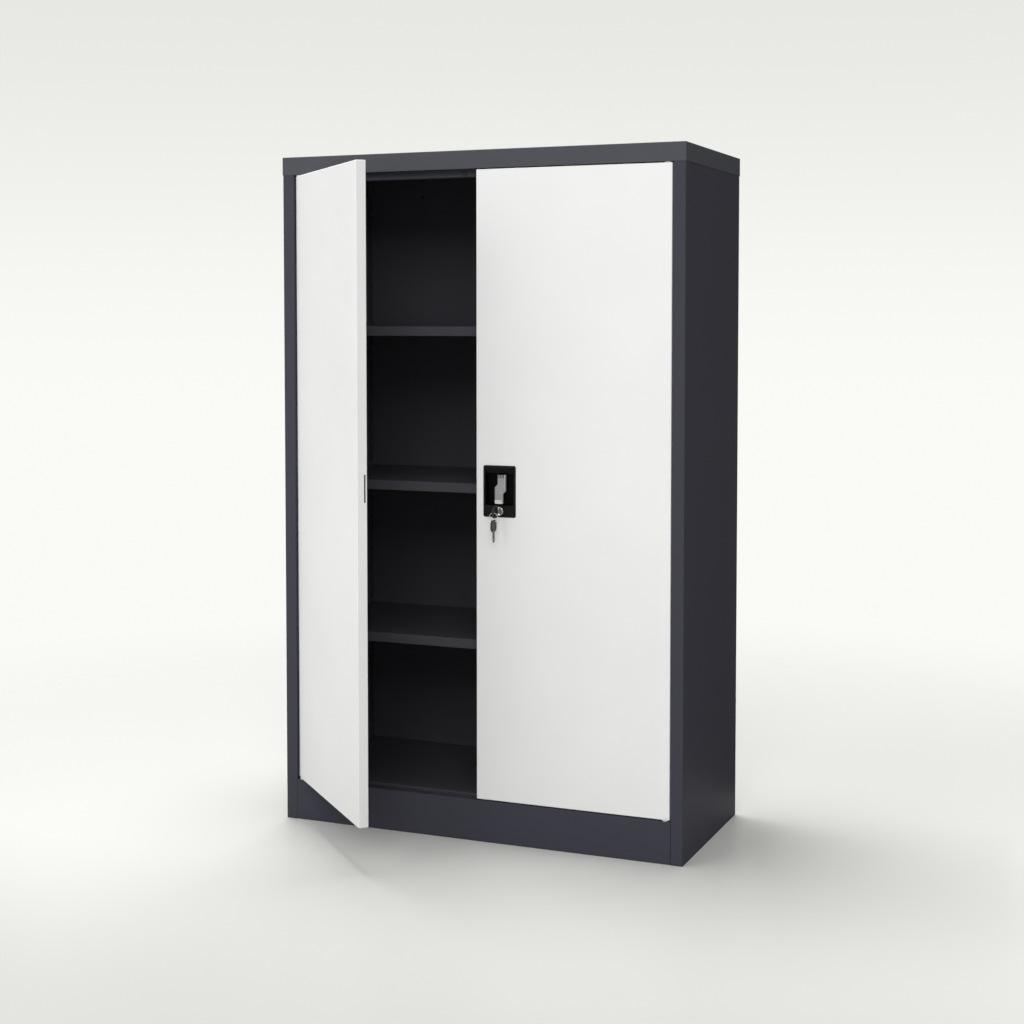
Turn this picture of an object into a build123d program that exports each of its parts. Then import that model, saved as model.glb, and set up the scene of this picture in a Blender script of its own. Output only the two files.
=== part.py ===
from build123d import *
import os
from math import atan, cos, floor, pi, radians, sin, sqrt, tan

# Steel office cabinet: two hinged doors, three adjustable shelves and a two-rod lock.
# Millimetres. The origin is on the floor, in the middle of the cabinet's footprint.
# +X is to the right of someone who faces the doors, +Y is to the back and +Z is up.
# The right door is closed and the left door stands ajar, with the lock undone.

# The cabinet as a whole
cabinet_width = 880
cabinet_depth = 390
cabinet_height = 1400

# Sheet steel and how tightly it is folded
body_sheet = 0.8
frame_sheet = 1.0
back_sheet = 0.7
bend_inside = 0.8
seam = 0.3

# Top cap, a pan that laps over the body
cap_sheet = 1.0
fascia_height = 37

# Side panels with their folded front posts and rear flanges
post_width = 25
post_depth = 28
post_lip = 10
rear_flange = 20

# Front frame: header rail with its door stop, and plinth with its ledge
stop_gap = 3
stop_drop = 15
header_depth = 43
header_height = 30
plinth_height = 85
plinth_lip = 15
plinth_foot = 20

# Floor of the cabinet, and the rail that carries its back edge
deck_rise = 6
deck_flange = 22
deck_upstand = 12
rear_rail_depth = 25

# Back panel, its screws and its two holes for a wall anchor
back_lift = 3
back_top_gap = 3
screw_head_radius = 3.5
screw_head_height = 1.8
screw_shank_radius = 1.7
screw_length = 6
screw_clearance = 0.1
screw_end_distance = 60
screws_a_side = 5
cap_screw_spacing = 280
wall_hole_radius = 4
wall_hole_spacing = 600
wall_hole_drop = 60

# Slotted uprights that hold the shelf clips
upright_width = 22
upright_depth = 12
upright_setback = 4
upright_head_gap = 8
slot_width = 3.2
slot_height = 13
slot_pitch = 32
first_slot_height = 16.5

# Shelves, their clips and stiffening channels
shelf_thickness = 20
shelf_lip = 12
shelf_rise = 12
shelf_end_gap = 2.5
shelf_front_gap = 2
shelf_back_gap = 2
shelf_slots = {"lower": 9, "middle": 19, "upper": 29}
clip_sheet = 1.2
clip_width = 14
clip_ledge = 12
clip_height = 30
clip_tab_length = 4
clip_fit = 0.3
hat_height = 13
hat_width = 34
hat_flange = 11
hat_end_gap = 25

# Doors, folded from one sheet each
door_sheet = 0.8
door_thickness = 20
door_side_gap = 2
door_top_gap = 2
door_bottom_gap = 2.5
door_centre_gap = 6
door_lip = 12
door_ajar_angle = 44.5
corner_notch_width = 9
corner_notch_height = 3
stiffener_place_share = 0.56

# Door pivots: pins in the frame, nylon bushes in the doors
pivot_inset = 10
pivot_setback = 6
pin_radius = 3
pin_reach = 8
pin_head_radius = 4.5
pin_head_height = 2
collar_radius = 6
collar_gap = 0.3
bush_radius = 5
bush_flange_radius = 7
bush_flange_height = 1
bush_running_fit = 0.1
bush_seat_fit = 0.05
pivot_plate_length = 24
pivot_plate_sheet = 1.5

# Rubber bumpers that the doors close on
bumper_radius = 5
bumper_gap = 0.3
bumper_inset = 30

# Lock housing, a black moulded cup let into the right door
lock_x = 54
lock_z = 717
housing_width = 70
housing_height = 104
housing_corner = 4
housing_rim = 2
housing_rim_round = 0.8
housing_overlap = 3
housing_fit = 0.3
housing_depth = 16
housing_floor = 2
housing_block_depth = 13
cup_side_margin = 4
cup_side_slope = 0.5
cup_top_margin = 4
cup_top_slope = 14
cup_lever_gap = 0.7
panel_sink = 1.2
panel_margin = 2.5
snap_length = 12
snap_reach = 1.2
snap_height = 3
boss_radius = 3
boss_side_inset = 5
boss_end_inset = 4

# Lever and its spindle
spindle_rise = 4
spindle_radius = 4.5
spindle_square = 6
spindle_tail_radius = 3
spindle_fit = 0.05
spindle_grip = 8
lever_margin = 45
lever_leg_width = 17
lever_jog = 6
lever_shoulder_near = 4
lever_shoulder_far = 10
lever_thickness = 7
lever_sink = 2.5
lever_hub_radius = 8
lever_hub_gap = 0.3
lever_round = 1.0
lever_facet_length = 9
lever_facet_depth = 2.5
lever_rib_count = 4
lever_rib_length = 8
lever_groove_width = 1.1
lever_groove_depth = 0.7

# Cam plate on the spindle: an arm that holds the other door, and a tail that the key blocks
layer_gap = 0.4
cam_thickness = 2
cam_arm_width = 10
cam_arm_catch = 8
cam_hub_radius = 9
cam_tail_width = 6
cam_tail_length = 28
tongue_width = 6
tongue_length = 22
tongue_gap = 0.4
arm_slot_gap = 0.7
arm_slot_end_gap = 3

# Pinion and the two rods that it drives
gear_module = 1.0
pinion_teeth = 20
gear_pressure_angle = 20
tooth_height_share = 0.8
tooth_root_share = 1.15
tooth_backlash = 0.2
flank_steps = 5
rod_width = 10
rod_thickness = 2
rod_setback = 0.5
rod_guide_gap = 0.3
rack_spare = 6
guide_height = 14
guide_wall = 4
strike_gap = 1.2

# Back plate of the lock, its screws and the clip on the spindle
plate_thickness = 1.2
plate_margin = 2.5
lug_width = 3
lug_height = 12
plate_screw_head_radius = 2.75
plate_screw_head_height = 1.6
plate_screw_radius = 1.25
plate_screw_length = 7
pilot_fit = 0.05
pilot_spare = 1.25
ring_clip_thickness = 0.8
ring_clip_radius = 6
ring_clip_groove = 0.7
ring_clip_mouth = 4
ring_clip_gap = 0.3
spindle_tail_spare = 0.8

# Lock cylinder, plug and the clip that holds the cylinder
cylinder_offset = -1
cylinder_rise = 12
bezel_radius = 9
bezel_height = 1.8
bezel_round = 0.6
barrel_radius = 8
barrel_fit = 0.05
barrel_spare = 2.5
plug_radius = 5
plug_fit = 0.05
plug_proud = 0.3
tail_square = 5
tail_fit = 0.05
cylinder_clip_thickness = 1
cylinder_clip_radius = 9.3
cylinder_groove = 1
tongue_screw_radius = 1.25
tongue_screw_length = 4
tongue_screw_head_radius = 2.6
tongue_screw_head_height = 1.4

# Keys and their ring
blade_thickness = 2
blade_width = 8
blade_length = 22
blade_inserted = 14.5
blade_in_head = 6
blade_bevel = 2.5
keyway_fit = 0.2
key_head_thickness = 4.5
key_head_width = 23
key_head_length = 23
key_head_corner = 5
key_head_round = 0.5
ring_hole_radius = 1.9
ring_hole_margin = 2.1
ring_radius = 9
ring_wire_radius = 0.8
ring_rest_gap = 0.3

# Cuts run this far past what they cut
overrun = 5

# Places that follow from the sizes above
side_x = cabinet_width / 2 - cap_sheet
wall_x = side_x - body_sheet
opening_x = side_x - post_width
front_y = -cabinet_depth / 2 + cap_sheet
rear_y = cabinet_depth / 2 - cap_sheet
post_back_y = front_y + post_depth
cap_ceiling = cabinet_height - cap_sheet
body_top = cap_ceiling - bend_inside
fascia_bottom = cabinet_height - fascia_height
back_y = rear_y - body_sheet - back_sheet

door_low = plinth_height + door_bottom_gap
door_high = fascia_bottom - door_top_gap
door_hinge_x = opening_x - door_side_gap
door_free_x = door_centre_gap / 2
door_back_y = front_y + door_thickness
door_skin_y = front_y + door_sheet
door_lip_y = door_back_y - door_sheet
stop_y = door_back_y + stop_gap
pivot_x = door_hinge_x - pivot_inset
pivot_y = front_y + pivot_setback
deck_z = plinth_height + deck_rise

housing_front_y = front_y - housing_rim
housing_floor_y = housing_front_y + housing_depth - housing_floor
housing_back_y = housing_front_y + housing_depth
housing_block_y = housing_front_y + housing_block_depth
panel_y = housing_front_y + panel_sink
cam_y = housing_back_y + layer_gap
rod_y = cam_y + cam_thickness + layer_gap
plate_y = rod_y + rod_thickness + layer_gap
plate_back_y = plate_y + plate_thickness
spindle_x = lock_x
spindle_z = lock_z + spindle_rise
cylinder_x = lock_x + cylinder_offset
cylinder_drop = housing_height / 2 - cylinder_rise
cylinder_z = lock_z - cylinder_drop
lever_length = housing_height - lever_margin
lever_side = (lever_leg_width + lever_jog) / 2
cup_low = spindle_z - sqrt((lever_length / 2) ** 2 + lever_side**2) - cup_lever_gap
cup_high = lock_z + housing_height / 2 - cup_top_margin

# Screws along the back: five down each side, and four through the cap's rear flange
back_screw_x = side_x - rear_flange / 2
back_screw_low = screw_end_distance
back_screw_high = fascia_bottom - screw_end_distance
back_screw_step = (back_screw_high - back_screw_low) / (screws_a_side - 1)
cap_screw_z = (fascia_bottom + body_top) / 2

# Slots in the uprights, counted up from the bottom panel
front_upright_y = post_back_y + upright_setback
rear_upright_y = rear_y - screw_length - seam - upright_width
upright_face_x = wall_x - upright_depth
upright_top = fascia_bottom - stop_drop - upright_head_gap
slot_base = deck_z + first_slot_height
slot_count = floor((upright_top - slot_height - slot_base) / slot_pitch) + 1

# The cam arm's reach, from the spindle to behind the other door's edge, and its slot
cam_reach = spindle_x + door_free_x + door_sheet + cam_arm_catch
cam_tail_side = cylinder_offset + tongue_width / 2 + tongue_gap
arm_wall_distance = spindle_x - door_free_x - door_sheet
arm_slot_low = spindle_z - cam_arm_width / 2 - arm_slot_end_gap
arm_slot_high = spindle_z + sqrt(cam_reach**2 - arm_wall_distance**2) + arm_slot_end_gap

# The rods run either side of the pinion, their teeth towards it
gear_pitch = pi * gear_module
pitch_radius = gear_module * pinion_teeth / 2
rod_travel = pitch_radius * pi / 2
rack_reach = rod_travel + rack_spare
rack_face = pitch_radius + gear_module * tooth_root_share
upper_rod_x = spindle_x + rack_face + rod_width / 2
lower_rod_x = spindle_x - rack_face - rod_width / 2

# The key in the lock, the ring in its head and the spare key on the ring
plug_front_y = panel_y - bezel_height - plug_proud
keyway_end_y = plug_front_y + blade_inserted + keyway_fit
key_tip_y = plug_front_y + blade_inserted
ring_hole_y = -blade_length - key_head_length + ring_hole_margin + ring_hole_radius
ring_y = key_tip_y + ring_hole_y
ring_bow = ring_radius - sqrt(ring_radius**2 - (key_head_thickness / 2) ** 2)
ring_seat = ring_hole_radius - ring_wire_radius - ring_rest_gap - ring_bow
ring_top_z = cylinder_z - ring_seat
ring_centre_z = ring_top_z - ring_radius
ring_low_z = ring_centre_z - ring_radius
spare_hole_z = ring_low_z - ring_seat


def block(x, y, z):
    """A box, given its low and high end along each axis."""
    middle = [(low + high) / 2 for low, high in (x, y, z)]
    lengths = [high - low for low, high in (x, y, z)]
    return Pos(*middle) * Box(*lengths)


def around(centre, length):
    """The two ends of a length about its centre."""
    return (centre - length / 2, centre + length / 2)


def inset(span, amount):
    """A span made shorter by the same amount at both ends."""
    return (span[0] + amount, span[1] - amount)


def upright_pin(radius, x, y, z):
    """A round bar along Z."""
    return Pos(x, y, (z[0] + z[1]) / 2) * Cylinder(radius, z[1] - z[0])


def level_pin(radius, x, y, z):
    """A round bar along Y."""
    return Pos(x, (y[0] + y[1]) / 2, z) * Rot(90, 0, 0) * Cylinder(radius, y[1] - y[0])


def cross_pin(radius, x, y, z):
    """A round bar along X."""
    return Pos((x[0] + x[1]) / 2, y, z) * Rot(0, 90, 0) * Cylinder(radius, x[1] - x[0])


def extend_x(face, x):
    """A face drawn in Y and Z, made solid along X."""
    return extrude(Plane.YZ.offset(x[0]) * face, x[1] - x[0], dir=(1, 0, 0))


def extend_y(face, y):
    """A face drawn in X and Z, made solid along Y."""
    return extrude(Plane.XZ.offset(-y[0]) * face, y[1] - y[0], dir=(0, 1, 0))


def extend_z(face, z):
    """A face drawn in X and Y, made solid along Z."""
    return extrude(Pos(0, 0, z[0]) * face, z[1] - z[0], dir=(0, 0, 1))


def soft_block(x, y, z, radius):
    """A box with all its edges rounded."""
    return fillet(block(x, y, z).edges(), radius)


def folded_box(x, y, z, sheet):
    """A closed sheet-metal box with rounded bends, to be cut open where it is open."""
    outer = soft_block(x, y, z, bend_inside + sheet)
    inner = soft_block(inset(x, sheet), inset(y, sheet), inset(z, sheet), bend_inside)
    return outer - inner


def rounded_corners(face, corners, radius):
    """A face with the corners nearest to the given points rounded."""
    chosen = [face.vertices().sort_by_distance(corner)[0] for corner in corners]
    return face.fillet_2d(radius, chosen)


def folded_strip(places, sheet):
    """The section of a sheet folded along the given places, with its thickness on their left."""
    near = [Vector(*place) for place in places]
    headings = [(end - start).normalized() for start, end in zip(near, near[1:])]
    sides = [Vector(-heading.Y, heading.X) for heading in headings]
    corners = [first + second for first, second in zip(sides, sides[1:])]
    shifts = [sides[0]] + corners + [sides[-1]]
    far = [place + shift * sheet for place, shift in zip(near, shifts)]
    turns = [a.cross(b).Z for a, b in zip(headings, headings[1:])]
    bends = list(zip(turns, near[1:-1], far[1:-1]))
    outside = [outer if turn > 0 else inner for turn, outer, inner in bends]
    inside = [inner if turn > 0 else outer for turn, outer, inner in bends]
    face = make_face(Polyline(*near, *reversed(far), close=True)).face()
    face = rounded_corners(face, outside, bend_inside + sheet)
    return rounded_corners(face, inside, bend_inside)


def mirrored(shape):
    """The same piece on the other side of the cabinet."""
    return mirror(shape, about=Plane.YZ)


def hat_section(middle, base, sheet):
    """A hat channel drawn in two axes, its two flanges level at base and its crown below."""
    crown = base - hat_height
    half = hat_width / 2
    places = [
        (middle + half + hat_flange, base),
        (middle + half, base),
        (middle + half, crown),
        (middle - half, crown),
        (middle - half, base),
        (middle - half - hat_flange, base),
    ]
    return folded_strip(places, sheet)


def screw(head_radius, head_height, shank_radius, length, x, y, z):
    """A pan-head screw driven from the back, its head seated at y."""
    head = level_pin(head_radius, x, (y, y + head_height), z)
    rim = head.edges().filter_by(GeomType.CIRCLE).sort_by(Axis.Y)[-1]
    head = fillet(rim, head_height / 2)
    return head + level_pin(shank_radius, x, (y - length, y), z)


def back_screw_places():
    """X and Z of each screw that holds the back panel to the side panels."""
    heights = [back_screw_low + i * back_screw_step for i in range(screws_a_side)]
    return [(side * back_screw_x, z) for side in (-1, 1) for z in heights]


def cap_screw_places():
    """X and Z of each screw that holds the cap's rear flange."""
    distances = (-back_screw_x, -cap_screw_spacing / 2, cap_screw_spacing / 2, back_screw_x)
    return [(x, cap_screw_z) for x in distances]


def screw_holes(places, y):
    """Clearance holes through a sheet for screws at the given places."""
    radius = screw_shank_radius + screw_clearance
    return [level_pin(radius, x, (y[0] - overrun, y[1] + overrun), z) for x, z in places]


def side_panel():
    """Right side panel: the wall, a folded post at the front and a flange at the back."""
    places = [
        (opening_x + post_lip, post_back_y),
        (opening_x, post_back_y),
        (opening_x, front_y),
        (side_x, front_y),
        (side_x, rear_y),
        (side_x - rear_flange, rear_y),
    ]
    panel = extend_z(folded_strip(places, body_sheet), (0, body_top))
    flange = (rear_y - body_sheet, rear_y)
    return panel - screw_holes(back_screw_places() + cap_screw_places(), flange)


def top_cap():
    """Pan that laps over the top of the body, with the fascia as its front flange."""
    width = around(0, cabinet_width)
    depth = around(0, cabinet_depth)
    height = (fascia_bottom, cabinet_height)
    deeper = (fascia_bottom - overrun, cabinet_height)
    cap = folded_box(width, depth, deeper, cap_sheet) & block(width, depth, height)
    return cap - screw_holes(cap_screw_places(), (rear_y, rear_y + cap_sheet))


def strike(x, z):
    """The hole that a lock rod enters, through the sheet at height z."""
    width = around(x, rod_width + 2 * strike_gap)
    depth = (rod_y - strike_gap, rod_y + rod_thickness + strike_gap)
    return block(width, depth, (z - overrun, z + overrun))


def pivot_bores(radius, z):
    """Holes for both doors' pivots, through the sheet at height z."""
    height = (z - overrun, z + overrun)
    return [upright_pin(radius, side * pivot_x, pivot_y, height) for side in (-1, 1)]


def header_rail():
    """Channel over the doors, with the step behind them that stops them."""
    header_back_y = front_y + header_depth
    header_top = fascia_bottom + header_height
    stop_low = fascia_bottom - stop_drop
    places = [
        (front_y, header_top),
        (front_y, fascia_bottom),
        (stop_y, fascia_bottom),
        (stop_y, stop_low),
        (header_back_y, stop_low),
        (header_back_y, header_top),
    ]
    width = inset((-opening_x, opening_x), seam)
    rail = extend_x(folded_strip(places, frame_sheet), width)
    return rail - strike(upper_rod_x, fascia_bottom) - pivot_bores(pin_radius, fascia_bottom)


def plinth():
    """Front of the base: upright face, ledge under the doors, lip and foot."""
    ledge_back_y = stop_y - seam
    places = [
        (ledge_back_y, plinth_height - plinth_lip),
        (ledge_back_y, plinth_height),
        (front_y, plinth_height),
        (front_y, 0),
        (front_y + plinth_foot, 0),
    ]
    width = inset((-opening_x, opening_x), seam)
    base = extend_x(folded_strip(places, frame_sheet), width)
    return base - strike(lower_rod_x, plinth_height) - pivot_bores(pin_radius, plinth_height)


def bottom_panel():
    """Floor of the cabinet, folded down at the front and up at the back."""
    upstand_y = back_y - seam - body_sheet
    places = [
        (upstand_y, deck_z + deck_upstand),
        (upstand_y, deck_z),
        (stop_y, deck_z),
        (stop_y, deck_z - deck_flange),
    ]
    deck = extend_x(folded_strip(places, body_sheet), inset((-wall_x, wall_x), seam))
    depth = (stop_y - overrun, post_back_y + seam)
    height = (deck_z - deck_flange - overrun, deck_z + overrun)
    corner = block((opening_x - seam, wall_x), depth, height)
    return deck - corner - mirrored(corner)


def rear_base_rail():
    """Channel on the floor at the back, under the edge of the bottom panel."""
    rail_y = back_y - seam
    top = deck_z - body_sheet
    places = [
        (rail_y - rear_rail_depth, 0),
        (rail_y, 0),
        (rail_y, top),
        (rail_y - rear_rail_depth, top),
    ]
    rail = extend_x(folded_strip(places, frame_sheet), inset((-wall_x, wall_x), seam))
    return rail - screw_holes(back_screw_places(), (rail_y - frame_sheet, rail_y))


def back_panel():
    """Flat sheet against the side panels' rear flanges, with two wall-anchor holes."""
    depth = (back_y, back_y + back_sheet)
    width = inset((-wall_x, wall_x), bend_inside + seam)
    sheet = block(width, depth, (back_lift, body_top - back_top_gap))
    anchor_z = body_top - wall_hole_drop
    through = (depth[0] - overrun, depth[1] + overrun)
    for side in (-1, 1):
        sheet -= level_pin(wall_hole_radius, side * wall_hole_spacing / 2, through, anchor_z)
    return sheet - screw_holes(back_screw_places() + cap_screw_places(), depth)


def frame_screws(places, seat_y):
    """Pan-head screws along the back of the cabinet."""
    sizes = (screw_head_radius, screw_head_height, screw_shank_radius, screw_length)
    return [screw(*sizes, x, seat_y, z) for x, z in places]


def upright(low_y):
    """Slotted channel on the right side wall, its web towards the shelves."""
    high_y = low_y + upright_width
    places = [(wall_x, high_y), (upright_face_x, high_y), (upright_face_x, low_y), (wall_x, low_y)]
    channel = extend_z(folded_strip(places, frame_sheet), (deck_z, upright_top))
    middle_y = (low_y + high_y) / 2
    through = (upright_face_x - overrun, upright_face_x + overrun)
    heights = [slot_base + i * slot_pitch for i in range(slot_count)]
    slots = [block(through, around(middle_y, slot_width), around(z, slot_height)) for z in heights]
    return channel - slots


def shelf_top(level):
    """Height of a shelf's upper face, from the slot that its clips hang in."""
    return slot_base + shelf_slots[level] * slot_pitch + shelf_rise


def shelf_span():
    """Width and depth of a shelf."""
    half = upright_face_x - shelf_end_gap
    return (-half, half), (post_back_y + shelf_front_gap, back_y - shelf_back_gap)


def shelf(level):
    """Steel shelf with its four edges folded down and under."""
    width, depth = shelf_span()
    height = (shelf_top(level) - shelf_thickness, shelf_top(level))
    window = block(inset(width, shelf_lip), inset(depth, shelf_lip), around(height[0], overrun))
    return folded_box(width, depth, height, body_sheet) - window


def shelf_stiffener(level):
    """Hat channel welded under a shelf, along its length."""
    width, depth = shelf_span()
    base = shelf_top(level) - body_sheet
    return extend_x(hat_section(sum(depth) / 2, base, body_sheet), inset(width, hat_end_gap))


def shelf_clip(level, middle_y):
    """Clip on a right upright: a tab in the slot, a plate on the web and a ledge inwards."""
    seat = shelf_top(level) - shelf_thickness
    slot_z = shelf_top(level) - shelf_rise
    width = around(middle_y, clip_width)
    ledge_x = (upright_face_x - clip_sheet - clip_ledge, upright_face_x)
    ledge = block(ledge_x, width, (seat - clip_sheet, seat))
    plate_x = (upright_face_x - clip_sheet, upright_face_x)
    plate = block(plate_x, width, (seat - clip_sheet, seat - clip_sheet + clip_height))
    tab_x = (upright_face_x - clip_sheet, upright_face_x + clip_tab_length)
    tab_width = inset(around(middle_y, slot_width), clip_fit)
    tab_height = inset(around(slot_z, slot_height), clip_fit)
    return plate + ledge + block(tab_x, tab_width, tab_height)


def shelf_clips(level):
    """The four clips that carry one shelf."""
    middles = [low + upright_width / 2 for low in (front_upright_y, rear_upright_y)]
    right = [shelf_clip(level, middle) for middle in middles]
    return right + [mirrored(clip) for clip in right]


def deck_stiffener():
    """Hat channel under the bottom panel."""
    width = inset((-wall_x, wall_x), hat_end_gap)
    middle = (stop_y + back_y) / 2
    return extend_x(hat_section(middle, deck_z - body_sheet, body_sheet), width)


def cap_stiffener():
    """Hat channel under the top of the cap."""
    width = inset((-wall_x, wall_x), hat_end_gap)
    return extend_x(hat_section(0, cap_ceiling, body_sheet), width)


def hinge_pins(side):
    """The upper and lower pivot pins of one door, headed inside the frame."""
    x = side * pivot_x
    ceiling = fascia_bottom + frame_sheet
    upper = upright_pin(pin_radius, x, pivot_y, (door_high - pin_reach, ceiling))
    upper += upright_pin(pin_head_radius, x, pivot_y, (ceiling, ceiling + pin_head_height))
    ledge = plinth_height - frame_sheet
    collar_top = door_low - bush_flange_height - collar_gap
    lower = upright_pin(pin_radius, x, pivot_y, (ledge, door_low + pin_reach))
    lower += upright_pin(pin_head_radius, x, pivot_y, (ledge - pin_head_height, ledge))
    lower += upright_pin(collar_radius, x, pivot_y, (plinth_height, collar_top))
    return [upper, lower]


def door_bumpers():
    """Four rubber bumpers on the stop above the doors."""
    middle_z = (fascia_bottom - stop_drop + door_high) / 2
    depth = (door_back_y + bumper_gap, stop_y)
    places = (door_free_x + bumper_inset, door_hinge_x - bumper_inset)
    return [level_pin(bumper_radius, side * x, depth, middle_z) for side in (-1, 1) for x in places]


def door_pan():
    """Right door's sheet, folded to a lip all round its back."""
    width = (door_free_x, door_hinge_x)
    height = (door_low, door_high)
    pan = folded_box(width, (front_y, door_back_y), height, door_sheet)
    pan -= block(inset(width, door_lip), around(door_back_y, overrun), inset(height, door_lip))
    bore = bush_radius + bush_seat_fit
    for z in height:
        pan -= upright_pin(bore, pivot_x, pivot_y, around(z, overrun))
    notch_x = (door_hinge_x - corner_notch_width, door_hinge_x + overrun)
    notch_y = (front_y - overrun, door_skin_y + bend_inside)
    return pan - block(notch_x, notch_y, (door_low - overrun, door_low + corner_notch_height))


def door_stiffener():
    """Upright hat channel behind the right door's sheet."""
    middle = door_free_x + (door_hinge_x - door_free_x) * stiffener_place_share
    section = mirror(hat_section(middle, -door_skin_y, door_sheet), about=Plane.XZ)
    return extend_z(section, inset((door_low, door_high), hat_end_gap))


def door_bushes():
    """Nylon bushes in the top and bottom of the right door, their flanges outside."""
    bore = pin_radius + bush_running_fit
    upper_end = (door_high - pin_reach, door_high)
    upper = upright_pin(bush_radius, pivot_x, pivot_y, upper_end)
    upper_flange = (door_high, door_high + bush_flange_height)
    upper += upright_pin(bush_flange_radius, pivot_x, pivot_y, upper_flange)
    lower_end = (door_low, door_low + pin_reach)
    lower = upright_pin(bush_radius, pivot_x, pivot_y, lower_end)
    lower_flange = (door_low - bush_flange_height, door_low)
    lower += upright_pin(bush_flange_radius, pivot_x, pivot_y, lower_flange)
    through = upright_pin(bore, pivot_x, pivot_y, (door_low - overrun, door_high + overrun))
    return [upper - through, lower - through]


def pivot_plates():
    """Plates welded inside the right door's ends to stiffen the bushes' seats."""
    depth = (door_skin_y, door_lip_y)
    side = door_hinge_x - door_sheet
    width = (side - pivot_plate_length, side)
    upper_z = (door_high - door_sheet - pivot_plate_sheet, door_high - door_sheet)
    lower_z = (door_low + door_sheet, door_low + door_sheet + pivot_plate_sheet)
    bore = bush_radius + bush_seat_fit
    plates = []
    for height in (upper_z, lower_z):
        plate = block(inset(width, bend_inside), inset(depth, bend_inside), height)
        plates.append(plate - upright_pin(bore, pivot_x, pivot_y, inset(height, -overrun)))
    return plates


def arm_slot():
    """Slot for the cam arm, through the facing edges of both doors."""
    width = (-door_free_x - door_sheet - overrun, door_free_x + door_sheet + overrun)
    depth = (cam_y - arm_slot_gap, cam_y + cam_thickness + arm_slot_gap)
    return block(width, depth, (arm_slot_low, arm_slot_high))


def housing_body_spans():
    """Width and height of the housing behind the door's sheet."""
    width = around(lock_x, housing_width - 2 * housing_overlap)
    height = around(lock_z, housing_height - 2 * housing_overlap)
    return width, height


def rod_hole(x, gap):
    """The space of one rod from the bottom to the top of a door, with a gap all round."""
    width = around(x, rod_width + 2 * gap)
    depth = (rod_y - gap, rod_y + rod_thickness + gap)
    return width, depth


def right_door_panel():
    """Right door's sheet, cut for the lock housing, the cam arm and the rods."""
    width, height = [inset(span, -housing_fit) for span in housing_body_spans()]
    opening = block(width, around(front_y, overrun), height)
    upper = block(*rod_hole(upper_rod_x, rod_guide_gap), around(door_high, overrun))
    lower = block(*rod_hole(lower_rod_x, rod_guide_gap), around(door_low, overrun))
    return door_pan() - opening - arm_slot() - upper - lower


def left_door_panel():
    """Left door's sheet, cut for the cam arm."""
    return mirrored(door_pan()) - arm_slot()


def keeper():
    """Thick plate inside the left door's edge, with the slot that the cam arm catches."""
    inner = -door_free_x - door_sheet
    width = (inner - 2 * frame_sheet, inner)
    height = (arm_slot_low - door_lip, arm_slot_high + door_lip)
    return block(width, inset((door_skin_y, door_lip_y), bend_inside), height) - arm_slot()


def ajar(shape):
    """A piece of the left door, swung open about its pivots."""
    return shape.rotate(Axis((-pivot_x, pivot_y, 0), (0, 0, 1)), -door_ajar_angle)


def boss_places():
    """Where the back plate's screws enter the housing: two below and one at the upper right."""
    width, height = housing_body_spans()
    left, right = inset(width, boss_side_inset)
    low, high = inset(height, boss_end_inset)
    return [(left, low), (right, low), (right, high)]


def housing_shell():
    """The housing before its recess is cut: a rimmed flange on the door and a body behind it."""
    flange_x = around(lock_x, housing_width)
    flange_z = around(lock_z, housing_height)
    flange = block(flange_x, (housing_front_y, front_y), flange_z)
    flange = fillet(flange.edges().filter_by(Axis.Y), housing_corner)
    flange = fillet(flange.faces().sort_by(Axis.Y)[0].edges(), housing_rim_round)
    width, height = housing_body_spans()
    step_y = (housing_block_y, housing_back_y + overrun)
    step_z = (height[0] - overrun, cup_low - housing_floor)
    body = block(width, (front_y, housing_back_y), height) - block(inset(width, -overrun), step_y, step_z)
    snap_y = (door_skin_y, door_skin_y + snap_height)
    snap_z = around(lock_z + housing_height / 4, snap_length)
    snaps = [block(around(x, 2 * snap_reach), snap_y, snap_z) for x in width]
    return flange + body + snaps


def cup_face(half_width, top, y):
    """One end of the recess, drawn at depth y."""
    middle = (cup_low + top) / 2
    return Plane.XZ.offset(-y) * Pos(lock_x, middle) * Rectangle(2 * half_width, top - cup_low)


def housing_cup():
    """The recess that the lever lies in, with sloped sides and a long slope at its top."""
    mouth_half = housing_width / 2 - cup_side_margin
    floor_half = mouth_half - cup_side_slope
    mouth = cup_face(mouth_half, cup_high, housing_front_y)
    return loft([mouth, cup_face(floor_half, cup_high - cup_top_slope, housing_floor_y)])


def lock_housing():
    """Moulded housing with a recess for the lever and a sunk panel for the cylinder."""
    housing = housing_shell() - housing_cup()
    panel_x = inset(around(lock_x, housing_width), panel_margin)
    panel_z = (lock_z - housing_height / 2 + panel_margin, cup_low)
    housing -= block(panel_x, (housing_front_y - overrun, panel_y), panel_z)
    depth = (housing_front_y, housing_back_y)
    housing -= level_pin(barrel_radius + barrel_fit, cylinder_x, depth, cylinder_z)
    floor_span = (housing_floor_y - overrun, housing_back_y + overrun)
    housing -= level_pin(spindle_radius + spindle_fit, spindle_x, floor_span, spindle_z)
    pilot_y = (plate_back_y - plate_screw_length - pilot_spare, plate_y + overrun)
    for x, z in boss_places():
        boss = level_pin(boss_radius, x, (housing_block_y, plate_y), z)
        housing += boss
        housing -= level_pin(plate_screw_radius + pilot_fit, x, pilot_y, z)
    return housing


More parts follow.
